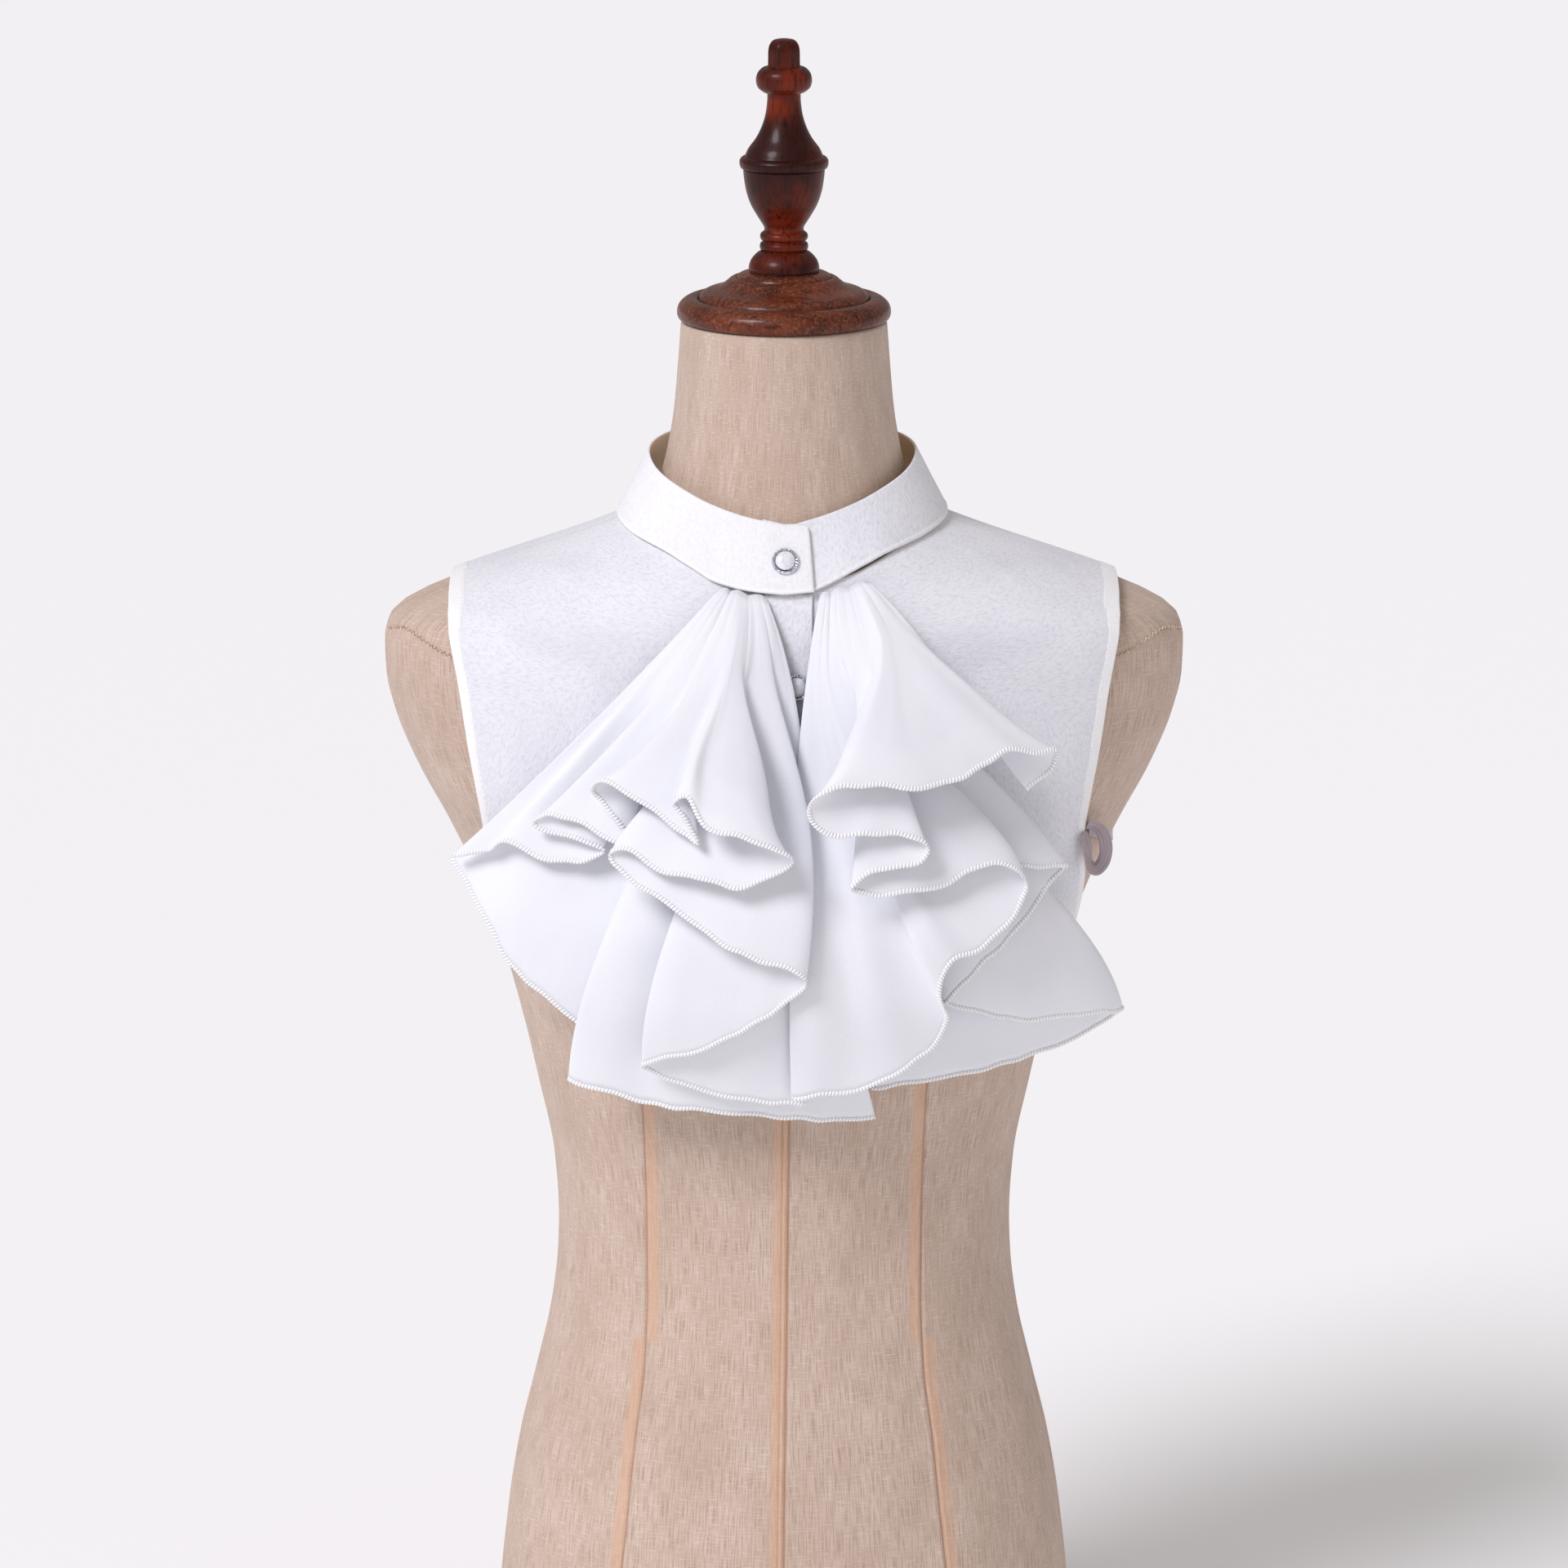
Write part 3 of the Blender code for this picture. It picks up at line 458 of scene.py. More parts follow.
@dataclass(frozen=True)
class WovenLinen(Finish):
    """Plain-woven unbleached linen stretched over padding: uneven yarns give it fine upright streaks,
    short cross slubs and a dry matte face, and the seam allowances under it show through as peach bands."""

    ground: str = "#d4bfb1"
    thin: str = "#aa8f7c"
    slub: str = "#e3d2c5"
    speck: str = "#664f3d"
    allowance: str = "#dcae8c"
    seam_line: str = "#8e6244"
    yarn_mm: float = 0.75         # real yarns are 0.5 mm; drawn a little coarser, to show in the render
    streak_mm: float = 15.0

    def build(self) -> bpy.types.Material:
        """Make the material."""
        material, shader = self.start(Roughness=0.88, Sheen_Weight=0.12, Sheen_Roughness=0.5)
        tree = material.node_tree
        flat = node(tree, "ShaderNodeUVMap", {"uv_map": CLOTH_UV})
        yarns = {}
        for way, scale in {
            "warp": (1 / self.yarn_mm, 1 / self.streak_mm, 1.0),
            "weft": (1 / (0.6 * self.streak_mm), 1 / self.yarn_mm, 1.0),
            "cloud": (1 / 34.0, 1 / 52.0, 1.0),
            "speck": (1 / 2.4, 1 / 3.4, 1.0),
        }.items():
            spot = node(tree, "ShaderNodeMapping", {"Scale": scale}, {"Vector": (flat, "UV")})
            yarns[way] = node(tree, "ShaderNodeTexNoise", {"Scale": 1.0, "Detail": 2.0, "Roughness": 0.6},
                              {"Vector": (spot, 0)})
        thin = node(tree, "ShaderNodeMapRange", {"From Min": 0.42, "From Max": 0.66, "To Max": 0.75},
                    {"Value": (yarns["warp"], 0)})
        colour = node(tree, "ShaderNodeMix",
                      {"data_type": "RGBA", 6: linear(self.ground), 7: linear(self.thin)}, {0: (thin, 0)})
        for way, low, high, most, code in (("weft", 0.52, 0.72, 0.7, self.slub),
                                           ("speck", 0.74, 0.82, 0.5, self.speck),
                                           ("cloud", 0.35, 0.7, 0.3, self.thin)):
            share = node(tree, "ShaderNodeMapRange", {"From Min": low, "From Max": high, "To Max": most},
                         {"Value": (yarns[way], 0)})
            colour = node(tree, "ShaderNodeMix", {"data_type": "RGBA", 7: linear(code)},
                          {0: (share, 0), 6: (colour, 2)})
        for mark, code, most in (("allowance", self.allowance, 0.5), ("seam", self.seam_line, 0.6)):
            found = node(tree, "ShaderNodeAttribute", {"attribute_name": mark})
            share = node(tree, "ShaderNodeMapRange", {"To Max": most}, {"Value": (found, "Fac")})
            colour = node(tree, "ShaderNodeMix", {"data_type": "RGBA", 7: linear(code)},
                          {0: (share, 0), 6: (colour, 2)})
        tree.links.new(colour.outputs[2], shader.inputs["Base Color"])
        height = node(tree, "ShaderNodeMath", {"operation": "ADD"},
                      {0: (yarns["warp"], 0), 1: (yarns["weft"], 0)})
        bump = node(tree, "ShaderNodeBump", {"Strength": 0.35, "Distance": 0.0006}, {"Height": (height, 0)})
        tree.links.new(bump.outputs[0], shader.inputs["Normal"])
        return material


@dataclass(frozen=True)
class TurnedMahogany(Finish):
    """Mahogany turned on a lathe, stained red-brown and varnished: long dark pores run up the wood, and the
    clear coat gives small sharp window-like highlights over a deep colour."""

    heart: str = "#320d08"
    pore: str = "#120303"
    light: str = "#70240d"
    worn: str = "#a8714c"
    pore_mm: tuple[float, float, float] = (1.6, 1.6, 26.0)
    gloss: float = 0.14
    dust: float = 0.0             # share of the worn, dusty flecks, all over the piece

    def build(self) -> bpy.types.Material:
        """Make the material."""
        material, shader = self.start(Roughness=0.42, IOR=1.5, Specular_IOR_Level=self.gloss,
                                      Coat_Weight=self.gloss, Coat_Roughness=0.16)
        tree = material.node_tree
        spot = node(tree, "ShaderNodeTexCoord")
        scaled = node(tree, "ShaderNodeMapping", {"Scale": tuple(1 / (s * MM) for s in self.pore_mm)},
                      {"Vector": (spot, "Object")})
        pores = node(tree, "ShaderNodeTexNoise", {"Scale": 1.0, "Detail": 4.0, "Roughness": 0.65},
                     {"Vector": (scaled, 0)})
        broad = node(tree, "ShaderNodeTexNoise", {"Scale": 38.0, "Detail": 2.0}, {"Vector": (spot, "Object")})
        lit = node(tree, "ShaderNodeMapRange", {"From Min": 0.4, "From Max": 0.68}, {"Value": (broad, 0)})
        colour = node(tree, "ShaderNodeMix",
                      {"data_type": "RGBA", 6: linear(self.heart), 7: linear(self.light)}, {0: (lit, 0)})
        deep = node(tree, "ShaderNodeMapRange", {"From Min": 0.47, "From Max": 0.7, "To Max": 0.9},
                    {"Value": (pores, 0)})
        colour = node(tree, "ShaderNodeMix", {"data_type": "RGBA", 7: linear(self.pore)},
                      {0: (deep, 0), 6: (colour, 2)})
        if self.dust:
            flecks = node(tree, "ShaderNodeTexNoise", {"Scale": 620.0, "Detail": 3.0, "Roughness": 0.7},
                          {"Vector": (spot, "Object")})
            fleck = node(tree, "ShaderNodeMapRange", {"From Min": 0.5, "From Max": 0.75, "To Max": self.dust},
                         {"Value": (flecks, 0)})
            colour = node(tree, "ShaderNodeMix", {"data_type": "RGBA", 7: linear(self.worn)},
                          {0: (fleck, 0), 6: (colour, 2)})
        tree.links.new(colour.outputs[2], shader.inputs["Base Color"])
        bump = node(tree, "ShaderNodeBump", {"Strength": 0.12, "Distance": 0.0004}, {"Height": (pores, 0)})
        tree.links.new(bump.outputs[0], shader.inputs["Normal"])
        return material


@dataclass(frozen=True)
class WhiteCloth(Finish):
    """Fine white polyester cloth, woven from high-twist yarn: light passes some way into it, so its shadows
    stay pale and cool, and its grain shows where the light grazes it; painted shade darkens the pits of its
    grain, and the same darker colour lies in broad random patches."""

    ground: str = "#f0f1f8"
    hollow: str = "#ced1dc"
    # the colour that the hem mark lightens towards: real double cloth at the hems, and painted light on the
    # collar band
    hem: str = "#fcfcfe"
    grain_mm: tuple[float, float] = (1.7, 2.3)    # real pebbles are 0.8 mm; drawn coarser, to show
    cloud_mm: tuple[float, float] = (40.0, 60.0)  # broad uneven patches of the weave
    grain_depth: float = 0.9
    grain_shade: float = 0.5      # how much painted shade darkens the pits between the pebbles
    glow: float = 0.2
    reach: float = 0.0012         # how far light passes inside the cloth, in metres
    sheen: float = 0.15
    roughness: float = 0.8

    def build(self) -> bpy.types.Material:
        """Make the material."""
        material, shader = self.start(
            Roughness=self.roughness, Sheen_Weight=self.sheen, Sheen_Roughness=0.4,
            Subsurface_Weight=self.glow, Subsurface_Radius=(1.0, 1.0, 1.0), Subsurface_Scale=self.reach,
            Specular_IOR_Level=0.3)
        tree = material.node_tree
        flat = node(tree, "ShaderNodeUVMap", {"uv_map": CLOTH_UV})
        fine = node(tree, "ShaderNodeMapping", {"Scale": (1 / self.grain_mm[0], 1 / self.grain_mm[1], 1.0)},
                    {"Vector": (flat, "UV")})
        grain = node(tree, "ShaderNodeTexNoise",
                     {"Scale": 1.0, "Detail": 3.0, "Roughness": 0.6, "Distortion": 0.6},
                     {"Vector": (fine, 0)})
        broad = node(tree, "ShaderNodeMapping", {"Scale": (1 / self.cloud_mm[0], 1 / self.cloud_mm[1], 1.0)},
                     {"Vector": (flat, "UV")})
        cloud = node(tree, "ShaderNodeTexNoise", {"Scale": 1.0, "Detail": 2.0}, {"Vector": (broad, 0)})
        # painted shade: the grain's pits take the darker hollow colour
        pits = node(tree, "ShaderNodeMapRange",
                    {"From Min": 0.46, "From Max": 0.68, "To Max": self.grain_shade}, {"Value": (grain, 0)})
        colour = node(tree, "ShaderNodeMix",
                      {"data_type": "RGBA", 6: linear(self.ground), 7: linear(self.hollow)}, {0: (pits, 0)})
        shade = node(tree, "ShaderNodeMapRange", {"From Min": 0.42, "From Max": 0.7, "To Max": 0.3},
                     {"Value": (cloud, 0)})
        colour = node(tree, "ShaderNodeMix", {"data_type": "RGBA", 7: linear(self.hollow)},
                      {0: (shade, 0), 6: (colour, 2)})
        # the hem mark: real double cloth at the hems, and painted light on the collar band's lit half
        found = node(tree, "ShaderNodeAttribute", {"attribute_name": "hem"})
        colour = node(tree, "ShaderNodeMix", {"data_type": "RGBA", 7: linear(self.hem)},
                      {0: (found, "Fac"), 6: (colour, 2)})
        tree.links.new(colour.outputs[2], shader.inputs["Base Color"])
        bump = node(tree, "ShaderNodeBump", {"Strength": self.grain_depth, "Distance": 0.0004},
                    {"Height": (grain, 0)})
        tree.links.new(bump.outputs[0], shader.inputs["Normal"])
        return material


@dataclass(frozen=True)
class SewingThread(Finish):
    """Spun polyester thread, laid by an overlock or a lockstitch machine: a little brighter than the cloth,
    with a soft shine along the twist."""

    ground: str = "#ffffff"
    twist: str = "#e3e6f0"
    strand_mm: float = 0.7

    def build(self) -> bpy.types.Material:
        """Make the material."""
        material, shader = self.start(Roughness=0.55, Sheen_Weight=0.2, Sheen_Roughness=0.4)
        tree = material.node_tree
        spot = node(tree, "ShaderNodeTexCoord")
        strands = node(tree, "ShaderNodeTexNoise", {"Scale": 1 / (self.strand_mm * MM), "Detail": 2.0},
                       {"Vector": (spot, "Object")})
        share = node(tree, "ShaderNodeMapRange", {"From Min": 0.4, "From Max": 0.65}, {"Value": (strands, 0)})
        colour = node(tree, "ShaderNodeMix",
                      {"data_type": "RGBA", 6: linear(self.ground), 7: linear(self.twist)}, {0: (share, 0)})
        tree.links.new(colour.outputs[2], shader.inputs["Base Color"])
        bump = node(tree, "ShaderNodeBump", {"Strength": 0.2, "Distance": 0.0002}, {"Height": (strands, 0)})
        tree.links.new(bump.outputs[0], shader.inputs["Normal"])
        return material


@dataclass(frozen=True)
class OverlockedThread(Finish):
    """Spun polyester thread wrapped round a rolled hem by an overlock machine: a bright slanted thread for
    each stitch, with a shaded gap before the next."""

    ground: str = "#ffffff"
    gap: str = "#cfd3de"
    pitch_mm: float = 1.7         # real stitches are 1.1 mm apart; drawn coarser, to show in the render

    def build(self) -> bpy.types.Material:
        """Make the material."""
        material, shader = self.start(Roughness=0.6, Sheen_Weight=0.2, Sheen_Roughness=0.4)
        tree = material.node_tree
        flat = node(tree, "ShaderNodeUVMap", {"uv_map": CLOTH_UV})
        turn = node(tree, "ShaderNodeMapping", {"Scale": (1 / self.pitch_mm, 1.0, 1.0)},
                    {"Vector": (flat, "UV")})
        parts = node(tree, "ShaderNodeSeparateXYZ", {}, {0: (turn, 0)})
        place = node(tree, "ShaderNodeMath", {"operation": "ADD"}, {0: (parts, 0), 1: (parts, 1)})
        round_way = node(tree, "ShaderNodeMath", {"operation": "MULTIPLY", 1: 2 * math.pi}, {0: (place, 0)})
        wave = node(tree, "ShaderNodeMath", {"operation": "SINE"}, {0: (round_way, 0)})
        share = node(tree, "ShaderNodeMapRange", {"From Min": 0.1, "From Max": -0.9, "To Max": 0.8},
                     {"Value": (wave, 0)})
        colour = node(tree, "ShaderNodeMix",
                      {"data_type": "RGBA", 6: linear(self.ground), 7: linear(self.gap)}, {0: (share, 0)})
        tree.links.new(colour.outputs[2], shader.inputs["Base Color"])
        bump = node(tree, "ShaderNodeBump", {"Strength": 0.4, "Distance": 0.0003}, {"Height": (wave, 0)})
        tree.links.new(bump.outputs[0], shader.inputs["Normal"])
        return material


@dataclass(frozen=True)
class SatinRibbon(Finish):
    """Polyester satin, woven with long floats: smooth, with a broad silky shine across the ribbon and fine
    lines along it."""

    ground: str = "#b7a9ae"
    float_line: str = "#9d8e95"
    float_mm: float = 0.8

    def build(self) -> bpy.types.Material:
        """Make the material."""
        material, shader = self.start(Roughness=0.36, Sheen_Weight=0.3, Sheen_Roughness=0.3, Anisotropic=0.5)
        tree = material.node_tree
        flat = node(tree, "ShaderNodeUVMap", {"uv_map": CLOTH_UV})
        lines = node(tree, "ShaderNodeMapping", {"Scale": (1 / self.float_mm, 1 / 18.0, 1.0)},
                     {"Vector": (flat, "UV")})
        floats = node(tree, "ShaderNodeTexNoise", {"Scale": 1.0, "Detail": 2.0}, {"Vector": (lines, 0)})
        share = node(tree, "ShaderNodeMapRange", {"From Min": 0.4, "From Max": 0.65}, {"Value": (floats, 0)})
        colour = node(tree, "ShaderNodeMix",
                      {"data_type": "RGBA", 6: linear(self.ground), 7: linear(self.float_line)},
                      {0: (share, 0)})
        tree.links.new(colour.outputs[2], shader.inputs["Base Color"])
        bump = node(tree, "ShaderNodeBump", {"Strength": 0.15, "Distance": 0.0002}, {"Height": (floats, 0)})
        tree.links.new(bump.outputs[0], shader.inputs["Normal"])
        return material


@dataclass(frozen=True)
class BrightMetal(Finish):
    """Silver-plated zinc alloy, cast and tumbled: bright, with painted dark reflections in small random
    patches, for those between its beads.
    """

    ground: str = "#dfe1e6"
    tarnish: str = "#8f949e"
    patch_mm: float = 1.2

    def build(self) -> bpy.types.Material:
        """Make the material."""
        material, shader = self.start(Metallic=1.0, Roughness=0.2)
        tree = material.node_tree
        spot = node(tree, "ShaderNodeTexCoord")
        patches = node(tree, "ShaderNodeTexNoise", {"Scale": 1 / (self.patch_mm * MM), "Detail": 3.0},
                       {"Vector": (spot, "Object")})
        # painted reflection: random patches of the metal's colour darkened
        share = node(tree, "ShaderNodeMapRange", {"From Min": 0.5, "From Max": 0.75, "To Max": 0.8},
                     {"Value": (patches, 0)})
        colour = node(tree, "ShaderNodeMix",
                      {"data_type": "RGBA", 6: linear(self.ground), 7: linear(self.tarnish)}, {0: (share, 0)})
        tree.links.new(colour.outputs[2], shader.inputs["Base Color"])
        return material


@dataclass(frozen=True)
class FoiledGlass(Finish):
    """Clear cut glass with a foil back: each flat facet throws a bright or a dark point."""

    ground: str = "#eef2f8"
    shadow: str = "#aab4c6"

    def build(self) -> bpy.types.Material:
        """Make the material."""
        material, shader = self.start(Metallic=0.85, Roughness=0.06)
        tree = material.node_tree
        spot = node(tree, "ShaderNodeTexCoord")
        # painted reflections: random dark points in the glass's colour, beside the real ones from its facets
        fire = node(tree, "ShaderNodeTexNoise", {"Scale": 900.0, "Detail": 1.0}, {"Vector": (spot, "Object")})
        share = node(tree, "ShaderNodeMapRange", {"From Min": 0.45, "From Max": 0.6}, {"Value": (fire, 0)})
        colour = node(tree, "ShaderNodeMix",
                      {"data_type": "RGBA", 6: linear(self.ground), 7: linear(self.shadow)}, {0: (share, 0)})
        tree.links.new(colour.outputs[2], shader.inputs["Base Color"])
        return material


@dataclass(frozen=True)
class ImitationPearl(Finish):
    """Acrylic cabochon dipped in pearl lacquer: a milky white body under a clear gloss, with a faint lilac
    and blue cast that swirls in the lacquer."""

    ground: str = "#f3f3f7"
    cast: str = "#d9dcec"

    def build(self) -> bpy.types.Material:
        """Make the material."""
        material, shader = self.start(Roughness=0.22, IOR=1.49, Coat_Weight=0.8, Coat_Roughness=0.08,
                                      Subsurface_Weight=0.2, Subsurface_Scale=0.001)
        tree = material.node_tree
        spot = node(tree, "ShaderNodeTexCoord")
        swirl = node(tree, "ShaderNodeTexNoise", {"Scale": 240.0, "Detail": 2.0, "Distortion": 1.5},
                     {"Vector": (spot, "Object")})
        share = node(tree, "ShaderNodeMapRange", {"From Min": 0.38, "From Max": 0.66}, {"Value": (swirl, 0)})
        colour = node(tree, "ShaderNodeMix",
                      {"data_type": "RGBA", 6: linear(self.ground), 7: linear(self.cast)}, {0: (share, 0)})
        tree.links.new(colour.outputs[2], shader.inputs["Base Color"])
        return material


@dataclass(frozen=True)
class StudioPaper(Finish):
    """Matt white background paper, rolled out flat: even and pale, with a faint glow of its own."""

    ground: str = "#fbfbfd"
    glow: float = 0.1

    def build(self) -> bpy.types.Material:
        """Make the material."""
        material, shader = self.start(Roughness=0.95, Specular_IOR_Level=0.1)
        shader.inputs["Base Color"].default_value = linear(self.ground)
        shader.inputs["Emission Color"].default_value = linear(self.ground)
        shader.inputs["Emission Strength"].default_value = self.glow
        return material


@dataclass(frozen=True)
class Finishes:
    """All finishes of the part, made once."""

    linen: bpy.types.Material
    finial_wood: bpy.types.Material
    cap_wood: bpy.types.Material
    crepe: bpy.types.Material
    lining: bpy.types.Material
    chiffon: bpy.types.Material
    hem_thread: bpy.types.Material
    overlock: bpy.types.Material
    seam_thread: bpy.types.Material
    satin: bpy.types.Material
    metal: bpy.types.Material
    glass: bpy.types.Material
    pearl: bpy.types.Material

    @classmethod
    def make(cls) -> "Finishes":
        """Build every material."""
        return cls(
            linen=WovenLinen("linen_plain_woven").build(),
            finial_wood=TurnedMahogany("mahogany_turned_varnished").build(),
            # The cap's copy of the mahogany is lighter and browner than the finial's: partly wear, partly a
            # painted highlight for the light that falls on its top; its flecks are dust
            cap_wood=TurnedMahogany("mahogany_turned_worn", heart="#512012", light="#74361f",
                                    pore_mm=(9.0, 1.4, 3.0), gloss=0.2, dust=0.5).build(),
            crepe=WhiteCloth("crepe_woven").build(),
            # The inside of the band: the same white crepe, painted ochre for the warm shade inside the band
            lining=WhiteCloth("crepe_folded_inside", ground="#ffe4b8", hollow="#f4d09a").build(),
            chiffon=WhiteCloth("chiffon_double_woven", ground="#f1f3fa", hollow="#dfe2ec",
                               grain_mm=(0.8, 0.8), grain_depth=0.12, grain_shade=0.25,
                               roughness=0.7).build(),
            hem_thread=SewingThread("thread_white").build(),
            overlock=OverlockedThread("thread_overlocked").build(),
            seam_thread=SewingThread("thread_cream", ground="#f0dcc8", twist="#a2714f").build(),
            satin=SatinRibbon("satin_ribbon_woven").build(),
            metal=BrightMetal("silver_plate_cast").build(),
            glass=FoiledGlass("glass_foil_backed").build(),
            pearl=ImitationPearl("pearl_lacquered").build(),
        )


# The form

@dataclass
class FormShape:
    """The padded form's surface: two half ellipses at each height."""

    levels: list[Row] = field(default_factory=lambda: [
        # height, half width, depth in front, depth behind
        (0.0, 143.0, 102.0, 118.0), (60.0, 145.5, 104.0, 121.0), (110.0, 141.0, 102.5, 119.0),
        (150.0, 134.5, 99.0, 113.0), (185.0, 126.0, 95.5, 104.0), (220.0, 118.0, 90.0, 94.0),
        (250.0, 114.3, 86.0, 87.5), (270.0, 113.6, 85.0, 85.5), (300.0, 115.3, 87.0, 85.5),
        (340.0, 123.0, 94.0, 88.5), (380.0, 132.0, 105.0, 94.0), (420.0, 143.0, 117.0, 100.0),
        (445.0, 152.0, 119.0, 103.0), (475.0, 166.0, 113.0, 106.0), (505.0, 182.0, 106.0, 106.0),
        (530.0, 192.0, 100.5, 103.0), (550.0, 196.5, 96.0, 99.0), (566.0, 197.0, 92.5, 95.0),
        (577.0, 194.0, 90.0, 92.5), (584.0, 186.0, 88.0, 90.5), (590.0, 172.5, 86.0, 88.5),
        (597.0, 155.0, 83.5, 86.5), (604.0, 135.0, 80.5, 84.0), (611.0, 114.0, 77.5, 81.0),
        (618.0, 94.0, 74.0, 77.0), (625.0, 77.0, 70.0, 73.0), (633.0, 67.5, 65.5, 69.0),
        (643.0, 62.0, 61.0, 64.0), (660.0, 57.2, 57.2, 58.0), (680.0, 53.8, 53.8, 54.0),
        (702.0, 51.8, 51.8, 51.8), (723.4, 50.2, 50.2, 50.2),
    ])

    def sizes(self, z: Array) -> tuple[Array, Array, Array]:
        """Half width, depth in front and depth behind at each height."""
        found = hermite(self.levels, z)
        return found[..., 0], found[..., 1], found[..., 2]

    def width(self, z: Array) -> Array:
        """Half width at each height."""
        return self.sizes(z)[0]

    def front(self, z: Array) -> Array:
        """Depth in front at each height."""
        return self.sizes(z)[1]

    def point(self, angle: Array, z: Array, off: Array | float = 0.0) -> Array:
        """Points on the form or over it.

        Args:
            angle: degrees from the viewer's right, positive towards the front.
            z: height.
            off: how far they stand off the surface.

        Returns:
            The points.
        """
        angle, z, off = np.broadcast_arrays(np.asarray(angle, float), z, off)
        rad = np.radians(angle)
        c, s = np.cos(rad), np.sin(rad)
        width, front, back = self.sizes(z)
        depth = np.where(s > 0, front, back)
        here = np.stack([width * c, -depth * s, z], axis=-1)
        w2, f2, b2 = self.sizes(z + 0.5)
        w1, f1, b1 = self.sizes(z - 0.5)
        rise = np.where(s > 0, f2 - f1, b2 - b1)
        round_way = np.stack([-width * s, -depth * c, 0 * z], axis=-1)
        up_way = np.stack([(w2 - w1) * c, -rise * s, 0 * z + 1.0], axis=-1)
        normal = unit(np.cross(round_way, up_way))
        outward = here[..., 0] * normal[..., 0] / width ** 2 + here[..., 1] * normal[..., 1] / depth ** 2
        normal = np.where(outward[..., None] < 0, -normal, normal)
        return here + normal * off[..., None]

    def clearance(self, points: Array) -> Array:
        """Distance of points close to the form from its surface."""
        def ratio(at: Array) -> Array:
            """How far out a point lies, as a share of the form's size there."""
            width, front, back = self.sizes(at[..., 2])
            return np.hypot(at[..., 0] / width, at[..., 1] / np.where(at[..., 1] < 0, front, back))

        step = 0.2
        here = ratio(points)
        slope = np.stack([(ratio(points + step * np.eye(3)[k]) - here) / step for k in range(3)], axis=-1)
        return (here - 1.0) / np.linalg.norm(slope, axis=-1)


